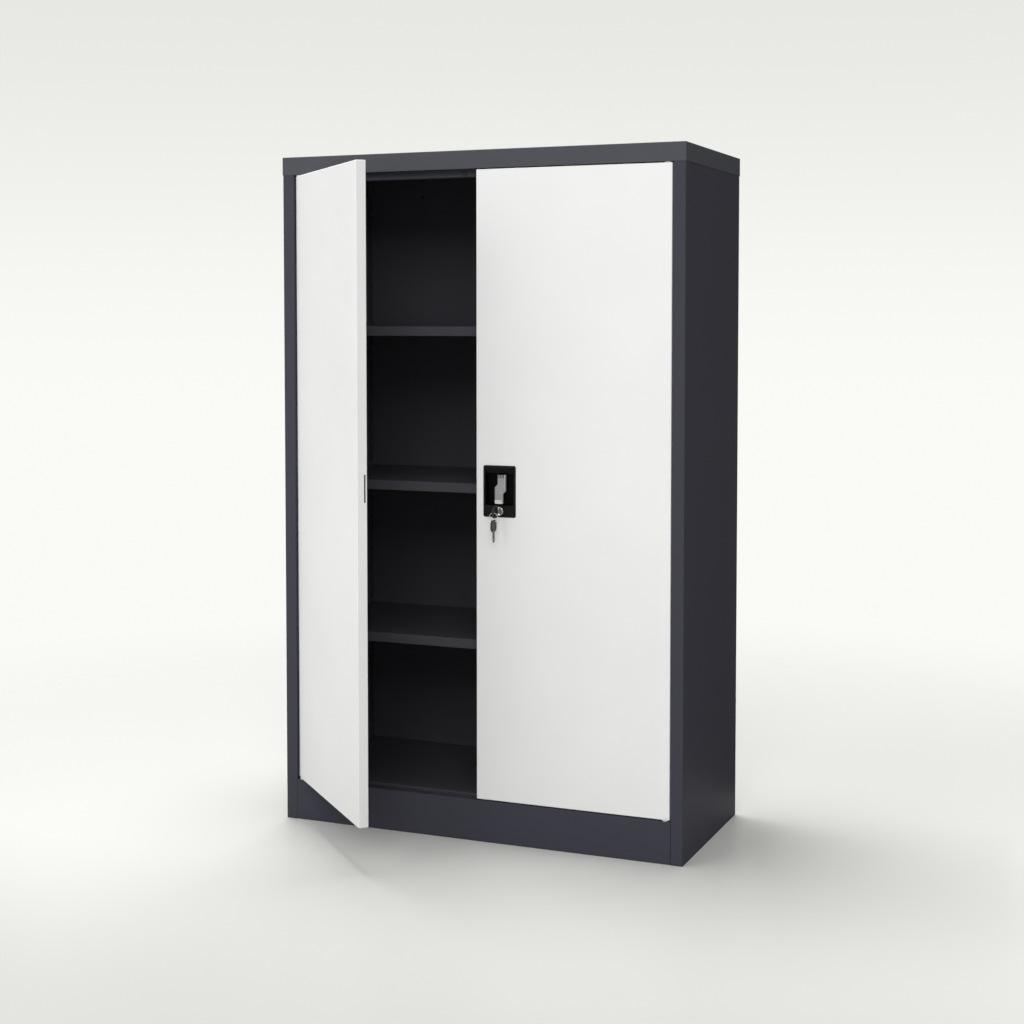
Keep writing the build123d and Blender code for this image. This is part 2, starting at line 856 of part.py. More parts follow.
def back_plate():
    """Steel plate behind the lock, with the spindle's bearing and lugs that guide the rods."""
    width, height = housing_body_spans()
    depth = (plate_y, plate_back_y)
    side_margin = boss_side_inset - boss_radius - plate_margin
    end_margin = boss_end_inset - boss_radius - plate_margin
    plate = block(inset(width, side_margin), depth, inset(height, end_margin))
    plate = fillet(plate.edges().filter_by(Axis.Y), boss_radius)
    lug_y = (rod_y, plate_y)
    lug_z = around(spindle_z, lug_height)
    upper_side = upper_rod_x + rod_width / 2 + rod_guide_gap
    lower_side = lower_rod_x - rod_width / 2 - rod_guide_gap
    plate += block((upper_side, upper_side + lug_width), lug_y, lug_z)
    plate += block((lower_side - lug_width, lower_side), lug_y, lug_z)
    through = inset(depth, -overrun)
    plate -= level_pin(spindle_tail_radius + spindle_fit, spindle_x, through, spindle_z)
    for x, z in boss_places():
        plate -= level_pin(plate_screw_radius + screw_clearance, x, (plate_y, plate_back_y + overrun), z)
    return plate


def plate_screws():
    """The three screws of the back plate."""
    head = (plate_screw_head_radius, plate_screw_head_height)
    shank = (plate_screw_radius, plate_screw_length)
    return [screw(*head, *shank, x, plate_back_y, z) for x, z in boss_places()]


def rod_guide(x, height):
    """Nylon block between the door's sheet and its lip, with a slot for one rod."""
    guide = block(around(x, rod_width + 2 * guide_wall), (door_skin_y, door_lip_y), height)
    return guide - block(*rod_hole(x, rod_guide_gap), inset(height, -overrun))


def spindle():
    """Shaft of the lever: square in the lever, cam plate and pinion, round in its bearings."""
    lever_back_y = housing_floor_y - lever_hub_gap
    square = (around(spindle_x, spindle_square), around(spindle_z, spindle_square))
    pinion_back_y = rod_y + rod_thickness
    tail_end = plate_back_y + ring_clip_gap + ring_clip_thickness + spindle_tail_spare
    shaft = block(square[0], (lever_back_y - spindle_grip, pinion_back_y), square[1])
    shaft += level_pin(spindle_radius, spindle_x, (lever_back_y, cam_y), spindle_z)
    shaft += level_pin(spindle_tail_radius, spindle_x, (pinion_back_y, tail_end), spindle_z)
    groove_y = inset(ring_clip_span(), -spindle_fit)
    groove = level_pin(spindle_radius, spindle_x, groove_y, spindle_z)
    groove -= level_pin(spindle_tail_radius - ring_clip_groove, spindle_x, groove_y, spindle_z)
    return shaft - groove


def ring_clip_span():
    """Where the spindle's clip sits along Y."""
    low = plate_back_y + ring_clip_gap
    return (low, low + ring_clip_thickness)


def spindle_clip():
    """Spring clip in the groove at the spindle's back end."""
    span = ring_clip_span()
    through = inset(span, -overrun)
    inner = spindle_tail_radius - ring_clip_groove + spindle_fit
    clip = level_pin(ring_clip_radius, spindle_x, span, spindle_z)
    clip -= level_pin(inner, spindle_x, through, spindle_z)
    mouth_z = (spindle_z - ring_clip_radius - overrun, spindle_z)
    return clip - block(around(spindle_x, ring_clip_mouth), through, mouth_z)


def square_bore(y):
    """Hole that fits over the spindle's square."""
    size = spindle_square + 2 * spindle_fit
    return block(around(spindle_x, size), y, around(spindle_z, size))


def lever_outline():
    """The lever from the front: two parallel legs joined by a slanted middle."""
    end = lever_length / 2
    far = lever_side
    near = far - lever_jog
    half = [(-near, end), (far, end), (far, -lever_shoulder_near), (near, -lever_shoulder_far)]
    places = half + [(-x, -z) for x, z in half]
    return make_face(Polyline(*[(spindle_x + x, spindle_z + z) for x, z in places], close=True))


def lever_facet(front):
    """What the slanted foot of the lever leaves out, from the front face down to its end."""
    low = spindle_z - lever_length / 2
    deep = front + lever_facet_depth
    places = [
        (front, low + lever_facet_length),
        (front - overrun, low + lever_facet_length),
        (front - overrun, low - overrun),
        (deep, low - overrun),
        (deep, low),
    ]
    return extend_x(make_face(Polyline(*places, close=True)), around(spindle_x, lever_length))


def lever_grooves(front):
    """The grooves between the ribs at the lever's top end."""
    top = spindle_z + lever_length / 2
    step = lever_leg_width / (lever_rib_count + 1)
    depth = (front - overrun, front + lever_groove_depth)
    height = (top - lever_rib_length, top + overrun)
    first = spindle_x + lever_jog / 2 - (lever_rib_count - 1) / 2 * step
    places = [first + i * step for i in range(lever_rib_count)]
    return [block(around(x, lever_groove_width), depth, height) for x in places]


def lever():
    """Cast lever with ribs at its top end, a slanted foot and a hub towards the housing."""
    front = housing_front_y + lever_sink
    back = front + lever_thickness
    hub_end = housing_floor_y - lever_hub_gap
    arm = extend_y(lever_outline(), (front, back))
    arm = fillet(arm.edges().filter_by(Axis.Y), lever_round)
    arm = fillet(arm.faces().sort_by(Axis.Y)[0].edges(), lever_round)
    arm -= lever_facet(front)
    arm -= lever_grooves(front)
    arm += level_pin(lever_hub_radius, spindle_x, (back, hub_end), spindle_z)
    return arm - square_bore((hub_end - spindle_grip - spindle_fit, hub_end + overrun))


def cam_plate():
    """Plate with the arm that reaches the other door, and the tail that the key blocks."""
    depth = (cam_y, cam_y + cam_thickness)
    plate = level_pin(cam_hub_radius, spindle_x, depth, spindle_z)
    arm_top = spindle_z + cam_reach - cam_arm_width / 2
    plate += block(around(spindle_x, cam_arm_width), depth, (spindle_z, arm_top))
    plate += level_pin(cam_arm_width / 2, spindle_x, depth, arm_top)
    tail_high = spindle_z - cam_tail_side
    tail_x = (spindle_x - cam_tail_length, spindle_x)
    plate += block(tail_x, depth, (tail_high - cam_tail_width, tail_high))
    return plate - square_bore(inset(depth, -overrun))


def pinion():
    """Toothed wheel on the spindle, with involute flanks."""
    pressure = radians(gear_pressure_angle)
    base = pitch_radius * cos(pressure)
    tip = pitch_radius + gear_module * tooth_height_share
    root = pitch_radius - gear_module * tooth_root_share
    half_tooth = pi / (2 * pinion_teeth) - tooth_backlash / (2 * pitch_radius)

    def involute(radius):
        roll = sqrt((radius / base) ** 2 - 1)
        return roll - atan(roll)

    start = max(base, root)
    radii = [start + (tip - start) * k / (flank_steps - 1) for k in range(flank_steps)]
    flank = [(r, half_tooth + involute(pitch_radius) - involute(r)) for r in radii]
    upper = [(r, turn) for r, turn in reversed(flank)] + [(root, flank[0][1])]
    tooth = [(r, -turn) for r, turn in reversed(upper)] + upper
    places = []
    for i in range(pinion_teeth):
        for radius, turn in tooth:
            angle = 2 * pi * i / pinion_teeth + turn
            places.append((spindle_x + radius * cos(angle), spindle_z + radius * sin(angle)))
    depth = (rod_y, rod_y + rod_thickness)
    wheel = extend_y(make_face(Polyline(*places, close=True)), depth)
    return wheel - square_bore(inset(depth, -overrun))


def rack_tooth(side, z):
    """One tooth of a rod's rack, at height z."""
    lean = tan(radians(gear_pressure_angle))
    tip_half = (gear_pitch - tooth_backlash) / 4 - gear_module * tooth_height_share * lean
    root_half = (gear_pitch - tooth_backlash) / 4 + gear_module * tooth_root_share * lean
    tip_x = spindle_x + side * (pitch_radius - gear_module * tooth_height_share)
    root_x = spindle_x + side * rack_face
    upper = [(tip_x, z + tip_half), (root_x, z + root_half)]
    outline = Polyline((root_x, z - root_half), (tip_x, z - tip_half), *upper, close=True)
    return extend_y(make_face(outline), (rod_y, rod_y + rod_thickness))


def lock_rod(side, low, high):
    """Flat bar on one side of the pinion, with rack teeth where the pinion reaches it."""
    x = spindle_x + side * (rack_face + rod_width / 2)
    rod = block(around(x, rod_width), (rod_y, rod_y + rod_thickness), (low, high))
    far = floor(rack_reach / gear_pitch)
    near = floor(rack_spare / gear_pitch)
    gaps = range(-far, near) if side > 0 else range(-near, far)
    return rod + [rack_tooth(side, spindle_z + (i + 1 / 2) * gear_pitch) for i in gaps]


def cylinder_body():
    """Chromed barrel of the key lock, with its bezel and a groove for its clip."""
    barrel_end = housing_block_y + barrel_spare
    bezel = level_pin(bezel_radius, cylinder_x, (panel_y - bezel_height, panel_y), cylinder_z)
    bezel = fillet(bezel.edges().filter_by(GeomType.CIRCLE).sort_by(Axis.Y)[0], bezel_round)
    body = bezel + level_pin(barrel_radius, cylinder_x, (panel_y, barrel_end), cylinder_z)
    groove_y = inset(cylinder_clip_span(), -barrel_fit)
    groove = level_pin(bezel_radius, cylinder_x, groove_y, cylinder_z)
    groove -= level_pin(barrel_radius - cylinder_groove, cylinder_x, groove_y, cylinder_z)
    through = (panel_y - overrun, barrel_end + overrun)
    bore = level_pin(plug_radius + plug_fit, cylinder_x, through, cylinder_z)
    return body - groove - bore


def cylinder_clip_span():
    """Where the cylinder's clip sits along Y."""
    return (housing_block_y, housing_block_y + cylinder_clip_thickness)


def cylinder_clip():
    """Horseshoe clip that holds the cylinder in the housing."""
    span = cylinder_clip_span()
    inner = barrel_radius - cylinder_groove + barrel_fit
    clip = level_pin(cylinder_clip_radius, cylinder_x, span, cylinder_z)
    clip -= level_pin(inner, cylinder_x, inset(span, -overrun), cylinder_z)
    mouth_z = (cylinder_z - cylinder_clip_radius - overrun, cylinder_z)
    return clip - block(around(cylinder_x, 2 * inner), inset(span, -overrun), mouth_z)


def keyway():
    """The slot in the plug that the key's blade fills."""
    width = around(cylinder_x, blade_thickness + 2 * keyway_fit)
    height = around(cylinder_z, blade_width + 2 * keyway_fit)
    return block(width, (plug_front_y - overrun, keyway_end_y), height)


def lock_plug():
    """The part of the lock that turns with the key."""
    end = cam_y + cam_thickness
    plug = level_pin(plug_radius, cylinder_x, (plug_front_y, cam_y), cylinder_z)
    plug += block(around(cylinder_x, tail_square), (cam_y, end), around(cylinder_z, tail_square))
    hole_y = (end - tongue_screw_length, end + overrun)
    hole = level_pin(tongue_screw_radius, cylinder_x, hole_y, cylinder_z)
    return plug - keyway() - hole


def locking_tongue():
    """Finger on the back of the plug, pointing left until the key is turned."""
    depth = (cam_y, cam_y + cam_thickness)
    tip_x = cylinder_x - tongue_length + tongue_width / 2
    tongue = level_pin(tail_square, cylinder_x, depth, cylinder_z)
    tongue += block((tip_x, cylinder_x), depth, around(cylinder_z, tongue_width))
    tongue += level_pin(tongue_width / 2, tip_x, depth, cylinder_z)
    size = tail_square + 2 * tail_fit
    return tongue - block(around(cylinder_x, size), inset(depth, -overrun), around(cylinder_z, size))


def tongue_screw():
    """Screw that holds the tongue on the plug."""
    head = (tongue_screw_head_radius, tongue_screw_head_height)
    shank = (tongue_screw_radius, tongue_screw_length)
    return screw(*head, *shank, cylinder_x, cam_y + cam_thickness, cylinder_z)


def key_blade():
    """A key's blade along Y, its tip at the origin and its head end towards -Y."""
    full = blade_length + blade_in_head
    tip = blade_width / 2 - blade_bevel
    half = blade_width / 2
    lower = [(-full, -half), (-blade_bevel, -half), (0, -tip)]
    upper = [(y, -z) for y, z in reversed(lower)]
    outline = Polyline(*lower, *upper, close=True)
    return extend_x(make_face(outline), around(0, blade_thickness))


def key_head():
    """A key's moulded head along Y, with the blade's pocket and the ring's hole."""
    start = -blade_length
    end = start - key_head_length
    depth = (end, start)
    head = block(around(0, key_head_thickness), depth, around(0, key_head_width))
    head = chamfer(head.edges().filter_by(Axis.X), key_head_corner)
    head = fillet(head.faces().filter_by(Axis.X).edges(), key_head_round)
    pocket = (start - blade_in_head - seam / 2, start + overrun)
    head -= block(around(0, blade_thickness), pocket, around(0, blade_width))
    through = around(0, key_head_thickness + 2 * overrun)
    return head - cross_pin(ring_hole_radius, through, ring_hole_y, 0)


def inserted(shape):
    """A piece of the key that stands in the lock."""
    return Pos(cylinder_x, key_tip_y, cylinder_z) * shape


def hanging(shape):
    """A piece of the spare key, hanging tip down from the ring."""
    turned = Rot(-90, 0, 0) * (Pos(0, -ring_hole_y, 0) * shape)
    return Pos(cylinder_x, ring_y, spare_hole_z) * turned


def key_ring():
    """Wire ring through the heads of both keys."""
    return Pos(cylinder_x, ring_y, ring_centre_z) * Rot(90, 0, 0) * Torus(ring_radius, ring_wire_radius)


guide_top = door_high - door_sheet - bend_inside
guide_base = door_low + door_sheet + bend_inside
right_panel = side_panel()
right_front = upright(front_upright_y)
right_rear = upright(rear_upright_y)

pieces = {
    "right_side_panel": [right_panel],
    "left_side_panel": [mirrored(right_panel)],
    "top_cap": [top_cap()],
    "cap_stiffener": [cap_stiffener()],
    "header_rail": [header_rail()],
    "plinth": [plinth()],
    "bottom_panel": [bottom_panel()],
    "bottom_stiffener": [deck_stiffener()],
    "rear_base_rail": [rear_base_rail()],
    "back_panel": [back_panel()],
    "back_screws": frame_screws(back_screw_places(), rear_y),
    "cap_screws": frame_screws(cap_screw_places(), rear_y + cap_sheet),
    "right_front_upright": [right_front],
    "right_rear_upright": [right_rear],
    "left_front_upright": [mirrored(right_front)],
    "left_rear_upright": [mirrored(right_rear)],
    "right_hinge_pins": hinge_pins(1),
    "left_hinge_pins": hinge_pins(-1),
    "door_bumpers": door_bumpers(),
}
for level in shelf_slots:
    pieces["shelf_" + level] = [shelf(level)]
    pieces["shelf_stiffener_" + level] = [shelf_stiffener(level)]
    pieces["shelf_clips_" + level] = shelf_clips(level)

pieces["right_door_panel"] = [right_door_panel()]
pieces["right_door_stiffener"] = [door_stiffener()]
pieces["right_door_bushes"] = door_bushes()
pieces["right_door_pivot_plates"] = pivot_plates()
pieces["left_door_panel"] = [ajar(left_door_panel())]
pieces["left_door_stiffener"] = [ajar(mirrored(door_stiffener()))]
pieces["left_door_bushes"] = [ajar(mirrored(bush)) for bush in door_bushes()]
pieces["left_door_pivot_plates"] = [ajar(mirrored(plate)) for plate in pivot_plates()]
pieces["left_door_keeper"] = [ajar(keeper())]

pieces["lock_housing"] = [lock_housing()]
pieces["lock_back_plate"] = [back_plate()]
pieces["back_plate_screws"] = plate_screws()
pieces["lock_cylinder"] = [cylinder_body()]
pieces["cylinder_clip"] = [cylinder_clip()]
pieces["upper_rod_guide"] = [rod_guide(upper_rod_x, (guide_top - guide_height, guide_top))]
pieces["lower_rod_guide"] = [rod_guide(lower_rod_x, (guide_base, guide_base + guide_height))]
pieces["lever"] = [lever()]
pieces["spindle"] = [spindle()]
pieces["spindle_clip"] = [spindle_clip()]
pieces["cam_plate"] = [cam_plate()]
pieces["drive_pinion"] = [pinion()]
pieces["upper_rod"] = [lock_rod(1, spindle_z - rack_reach, door_high - rod_setback)]
pieces["lower_rod"] = [lock_rod(-1, door_low + rod_setback, spindle_z + rack_reach)]
pieces["lock_plug"] = [lock_plug()]
pieces["locking_tongue"] = [locking_tongue()]
pieces["tongue_screw"] = [tongue_screw()]
pieces["key_blade"] = [inserted(key_blade())]
pieces["key_head"] = [inserted(key_head())]
pieces["key_ring"] = [key_ring()]
pieces["spare_key_blade"] = [hanging(key_blade())]
pieces["spare_key_head"] = [hanging(key_head())]

os.makedirs("parts", exist_ok=True)
for name, shapes in pieces.items():
    solids = [solid for shape in shapes for solid in shape.solids()]
    export_step(solids[0] if len(solids) == 1 else Compound(solids), "parts/" + name + ".step")
    print(name, len(solids))
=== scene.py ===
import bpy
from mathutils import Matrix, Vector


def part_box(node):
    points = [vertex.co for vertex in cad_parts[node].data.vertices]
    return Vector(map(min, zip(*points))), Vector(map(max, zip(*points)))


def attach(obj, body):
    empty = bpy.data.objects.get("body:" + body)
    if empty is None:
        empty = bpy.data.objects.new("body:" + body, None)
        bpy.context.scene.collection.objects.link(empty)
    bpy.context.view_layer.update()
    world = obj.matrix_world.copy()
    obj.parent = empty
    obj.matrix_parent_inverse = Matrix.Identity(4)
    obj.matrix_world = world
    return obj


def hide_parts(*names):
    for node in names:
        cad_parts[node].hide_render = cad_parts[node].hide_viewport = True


bl_info = {
    "name": "Steel Office Cabinet",
    "version": (1, 0, 0),
    "blender": (4, 5, 0),
    "location": "3D View > Sidebar > Cabinet",
    "description": "Finishes and detailed pieces of a steel office cabinet with a lever lock",
    "category": "Object",
}

from math import asin, cos, pi, radians, sin, tan

import bmesh
import bpy
from bpy.props import FloatProperty, FloatVectorProperty, IntProperty, PointerProperty
from bpy.types import Operator, Panel, PropertyGroup
from mathutils import Matrix, Vector

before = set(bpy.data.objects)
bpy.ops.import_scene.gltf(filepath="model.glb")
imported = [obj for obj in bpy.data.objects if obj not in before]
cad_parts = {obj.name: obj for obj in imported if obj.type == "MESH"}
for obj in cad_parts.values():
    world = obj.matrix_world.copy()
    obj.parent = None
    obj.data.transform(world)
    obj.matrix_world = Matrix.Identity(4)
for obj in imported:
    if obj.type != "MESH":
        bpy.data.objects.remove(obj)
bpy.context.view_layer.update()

MM = 0.001
# Points nearer than this are merged, and edges shorter than this are dissolved
MERGE, SLIVER = 0.002 * MM, 0.0005 * MM
SMOOTH_ANGLE = radians(32)
FLAT_ANGLE = radians(1)
BEVEL_ANGLE = radians(35)
CORNER_STEPS = 5
ROUND_STEPS = 4
LEVELS = ("lower", "middle", "upper")


# Settings


def length(name, text, value):
    """A size in metres that is typed here in millimetres."""
    return FloatProperty(name=name, description=text, default=value * MM, min=0, precision=5, unit="LENGTH")


def share(name, text, value):
    """A number from 0 to 1."""
    return FloatProperty(name=name, description=text, default=value, min=0, max=1, subtype="FACTOR")


def colour(name, text, value):
    """A linear colour."""
    return FloatVectorProperty(name=name, description=text, default=value, min=0, max=1, subtype="COLOR")


def angle(name, text, value):
    """An angle in radians."""
    return FloatProperty(name=name, description=text, default=value, subtype="ANGLE")


def power(name, text, value):
    """A lamp's power in watts."""
    return FloatProperty(name=name, description=text, default=value, min=0, unit="POWER")


class PaintSettings(PropertyGroup):
    """Powder coat of the sheet steel."""

    cap_colour: colour("Cap", "Colour of the top cap", (0.080, 0.083, 0.095))
    body_colour: colour("Body", "Colour of the side panels, header and plinth", (0.056, 0.0555, 0.073))
    body_rub: colour("Body rub", "Colour of rubbed edges of the cap and body", (0.10, 0.10, 0.105))
    interior_colour: colour("Interior", "Colour of the shelves, floor and back", (0.061, 0.059, 0.070))
    door_colour: colour("Doors", "Colour of the doors", (0.86, 0.865, 0.87))
    door_rub: colour("Door rub", "Colour of rubbed edges of the doors", (0.52, 0.52, 0.51))
    gloss: share("Roughness", "Mean roughness of the coat", 0.48)
    shine: share("Shine", "Strength of the coat's reflections", 0.04)
    peel_size: length("Orange peel", "Size of the bumps of the coat", 1.6)
    peel_height: length("Peel height", "Height of the bumps of the coat", 0.012)
    wear_width: length("Wear width", "How far wear reaches in from an edge", 2.2)
    scuff_height: length("Scuff height", "How far scuffs reach up the body from the floor", 60)


class HardwareSettings(PropertyGroup):
    """Plated steel, nylon and rubber pieces."""

    zinc_colour: colour("Zinc", "Colour of the zinc plating", (0.56, 0.57, 0.58))
    nickel_colour: colour("Nickel", "Colour of the nickel plating", (0.72, 0.71, 0.68))
    nylon_colour: colour("Nylon", "Colour of the bushes and guides", (0.70, 0.68, 0.62))
    rubber_colour: colour("Rubber", "Colour of the bumpers and hole plugs", (0.012, 0.012, 0.013))


class ScrewSettings(PropertyGroup):
    """Pan-head screws with a cross recess."""

    frame_recess: length("Frame screw recess", "Width of the cross in a screw of the frame", 3.6)
    lock_recess: length("Lock screw recess", "Width of the cross in a screw of the lock", 2.8)
    recess_slot: share("Slot", "Width of one slot of the cross, as a share of the cross", 0.27)
    recess_depth: share("Depth", "Depth of the cross, as a share of the head's height", 0.62)
    seed: IntProperty(name="Seed", description="Turns the crosses at random", default=7, min=0)


class ClipSettings(PropertyGroup):
    """Bent shelf clips and the bumpers behind the doors."""

    sheet: length("Sheet", "Thickness of a clip", 1.2)
    width: length("Width", "Width of a clip", 14)
    ledge: length("Ledge", "Length of the ledge that carries the shelf", 12)
    bend: length("Bend", "Radius in the middle of a clip's bend", 1.5)
    hook: length("Hook", "Height of a clip's hook in its slot", 12.4)
    hook_width: length("Hook width", "Width of a clip's hook", 2.6)
    hook_rise: length("Hook rise", "From a clip's foot to the middle of its hook", 9.2)
    bumper_dome: length("Dome", "Height of a bumper's domed front", 1.1)


class LockSettings(PropertyGroup):
    """Moulded lock housing, its lever and its cylinder."""

    moulding_colour: colour("Moulding", "Colour of the housing", (0.0008, 0.0008, 0.0008))
    lever_colour: colour("Lever", "Colour of the cast lever", (0.33, 0.33, 0.335))
    chrome_colour: colour("Chrome", "Colour of the cylinder's plating", (0.50, 0.50, 0.51))
    # Painted highlight on the lever's rounded edges, sides and foot
    edge_highlight_colour: colour("Polish", "Colour of the lever's rubbed edges", (0.80, 0.80, 0.79))
    edge: length("Edge", "Radius of the housing's edges", 0.35)
    leg_width: length("Leg", "Width of one leg of the lever", 17)
    jog: length("Jog", "Sideways step between the lever's legs", 6)
    shoulder_near: length("Near shoulder", "From the spindle to the near shoulder", 4)
    shoulder_far: length("Far shoulder", "From the spindle to the far shoulder", 10)
    lever_round: length("Rounding", "Radius along the lever's front edges", 1.9)
    foot_length: length("Foot", "Length of the slanted foot", 9)
    foot_depth: length("Foot depth", "How far the foot slants back", 2.4)
    rib_length: length("Ribs", "Length of the ribs at the lever's top", 8)
    groove_width: length("Groove", "Width of the grooves between the ribs", 1.7)
    groove_depth: length("Groove depth", "Depth of the grooves between the ribs", 1.3)
    grooves: IntProperty(name="Grooves", description="Grooves at the lever's top", default=4, min=0)


class KeySettings(PropertyGroup):
    """Keys and the split ring that joins them."""

    head_colour: colour("Head", "Colour of the moulded heads", (0.020, 0.0205, 0.017))
    # Painted shade: the head of the key in the lock is drawn at this share of the spare's tone
    painted_head_shade: share("Darkening", "Tone of the handled key's head, as a share of the spare's", 0.4)
    steel_colour: colour("Steel", "Colour of the blades", (0.15, 0.15, 0.14))
    ring_colour: colour("Ring", "Colour of the split ring", (0.86, 0.86, 0.85))
    cut_pitch: length("Cut pitch", "From one cut of a blade to the next", 2.8)
    groove_width: length("Milling", "Width of the groove along a blade", 1.6)
    groove_depth: length("Milling depth", "Depth of the groove along a blade", 0.45)
    head_round: length("Head rounding", "Radius round a head's faces", 1.1)
    panel_depth: length("Panel", "Depth of the panel sunk into a head", 0.4)


class StudioSettings(PropertyGroup):
    """Camera, lights, floor and backdrop."""

    camera_place: FloatVectorProperty(
        name="Camera",
        description="Where the camera stands",
        default=(1.4016, -3.3723, 1.0560),
        subtype="TRANSLATION",
        unit="LENGTH",
    )
    lens: FloatProperty(
        name="Lens",
        description="Focal length on a 36 mm sensor",
        default=60.74,
        subtype="DISTANCE_CAMERA",
    )
    shift: FloatProperty(name="Shift", description="Vertical shift of the lens", default=-0.09961)
    camera_tilt: angle("Tilt", "Tilt below the level", 0.05081)
    camera_turn: angle("Turn", "Turn about the vertical", 0.39387)
    overhead: power("Overhead", "Power of the soft box above", 185)
    front: power("Front", "Power of the soft box in front", 101)
    fill: power("Fill", "Power of the soft box on the right", 165)
    ambient: share("Ambient", "Light from all round", 0.98)
    floor_colour: colour("Floor", "Colour of the floor", (0.76, 0.76, 0.74))
    backdrop_colour: colour("Backdrop", "Colour behind the cabinet", (0.955, 0.96, 0.92))


# Node trees


class Value:
    """A node's output, on which sums can be written."""

    def __init__(self, recipe, socket):
        self.recipe = recipe
        self.socket = socket

    def reckon(self, operation, *terms):
        settings = {"operation": operation}
        return self.recipe.node("ShaderNodeMath", settings, dict(enumerate(terms)))[0]

    def __add__(self, other):
        return self.reckon("ADD", self, other)

    def __sub__(self, other):
        return self.reckon("SUBTRACT", self, other)

    def __rsub__(self, other):
        return self.reckon("SUBTRACT", other, self)

    def __mul__(self, other):
        return self.reckon("MULTIPLY", self, other)

    def __pow__(self, other):
        return self.reckon("POWER", self, other)

    __radd__ = __add__
    __rmul__ = __mul__

    def most(self, other):
        return self.reckon("MAXIMUM", self, other)

    def size(self):
        return self.reckon("ABSOLUTE", self)

    def over(self, other):
        return self.reckon("GREATER_THAN", self, other)

    def under(self, other):
        return self.reckon("LESS_THAN", self, other)

    def ramp(self, low, high, to_low=0, to_high=1):
        """The value taken smoothly from one span to another."""
        settings = {"interpolation_type": "SMOOTHSTEP"}
        values = {"Value": self, 1: low, 2: high, 3: to_low, 4: to_high}
        return self.recipe.node("ShaderNodeMapRange", settings, values)[0]


class Outputs:
    """A node whose outputs are read by name or number."""

    def __init__(self, recipe, node):
        self.recipe = recipe
        self.node = node

    def __getitem__(self, key):
        return Value(self.recipe, self.node.outputs[key])


class Recipe:
    """A node tree that nodes are added to by type."""

    def __init__(self, tree):
        self.tree = tree

    def node(self, kind, settings=None, inputs=None):
        """A node of a type, with its settings made first and then its inputs set or linked. A list
        links several values to one input."""
        node = self.tree.nodes.new(kind)
        for name, setting in (settings or {}).items():
            setattr(node, name, setting)
        for key, given in (inputs or {}).items():
            for value in given if isinstance(given, list) else [given]:
                if isinstance(value, Value):
                    self.tree.links.new(value.socket, node.inputs[key])
                else:
                    node.inputs[key].default_value = value
        return Outputs(self, node)

    def blend(self, mask, first, second):
        """Two colours mixed by a mask."""
        values = {0: mask, 6: first, 7: second}
        return self.node("ShaderNodeMix", {"data_type": "RGBA"}, values)[2]

    def seen(self):
        """1 for rays that show a surface, straight, mirrored or through glass, and 0 for all others."""
        path = self.node("ShaderNodeLightPath")
        return path["Is Camera Ray"].most(path["Is Glossy Ray"]).most(path["Is Transmission Ray"])


def rgba(tone, factor=1.0):
    """A colour with its alpha, made lighter or darker."""
    return (*[min(channel * factor, 1.0) for channel in tone], 1.0)


# Materials


class Finish(Recipe):
    """A material whose patterns lie in the object's own space."""

    def __init__(self, name):
        self.material = bpy.data.materials.new(name)
        self.material.use_nodes = True
        super().__init__(self.material.node_tree)
        self.tree.nodes.clear()
        self.place = self.node("ShaderNodeTexCoord")["Object"]
        axes = self.node("ShaderNodeSeparateXYZ", {}, {0: self.place})
        self.x, self.y, self.z = axes[0], axes[1], axes[2]

    def noise(self, size, detail=2.0, rough=0.5, stretch=None):
        """Smooth noise from 0 to 1 whose features have a given size in metres."""
        place = self.place
        if stretch is not None:
            place = self.node("ShaderNodeMapping", {}, {"Vector": place, "Scale": stretch})[0]
        values = {"Vector": place, "Scale": 1 / size, "Detail": detail, "Roughness": rough}
        return self.node("ShaderNodeTexNoise", {}, values)[0]

    def bump(self, height, depth):
        """A normal bent by a height map that spans a depth in metres."""
        values = {"Strength": 1.0, "Distance": depth, "Height": height}
        return self.node("ShaderNodeBump", {}, values)[0]

    def close(self, varying, fixed):
        """Ends the tree in a principled shader and gives the material."""
        shader = self.node("ShaderNodeBsdfPrincipled", {}, {**fixed, **varying})[0]
        self.node("ShaderNodeOutputMaterial", {}, {0: shader})
        return self.material


def edge_wear(finish, edges, width):
    """A mask along straight edges: each is the two axes it is measured on and its place on them."""
    wear = None
    for first, second, place in edges:
        across = (getattr(finish, first) - place[0]).size()
        along = (getattr(finish, second) - place[1]).size()
        band = across.most(along).ramp(0.0, width, 1.0, 0.0)
        wear = band if wear is None else wear.most(band)
    chips = finish.noise(0.009, detail=5.0, rough=0.62).ramp(0.52, 0.70)
    fine = finish.noise(0.0016).ramp(0.40, 0.65)
    return wear * chips * fine


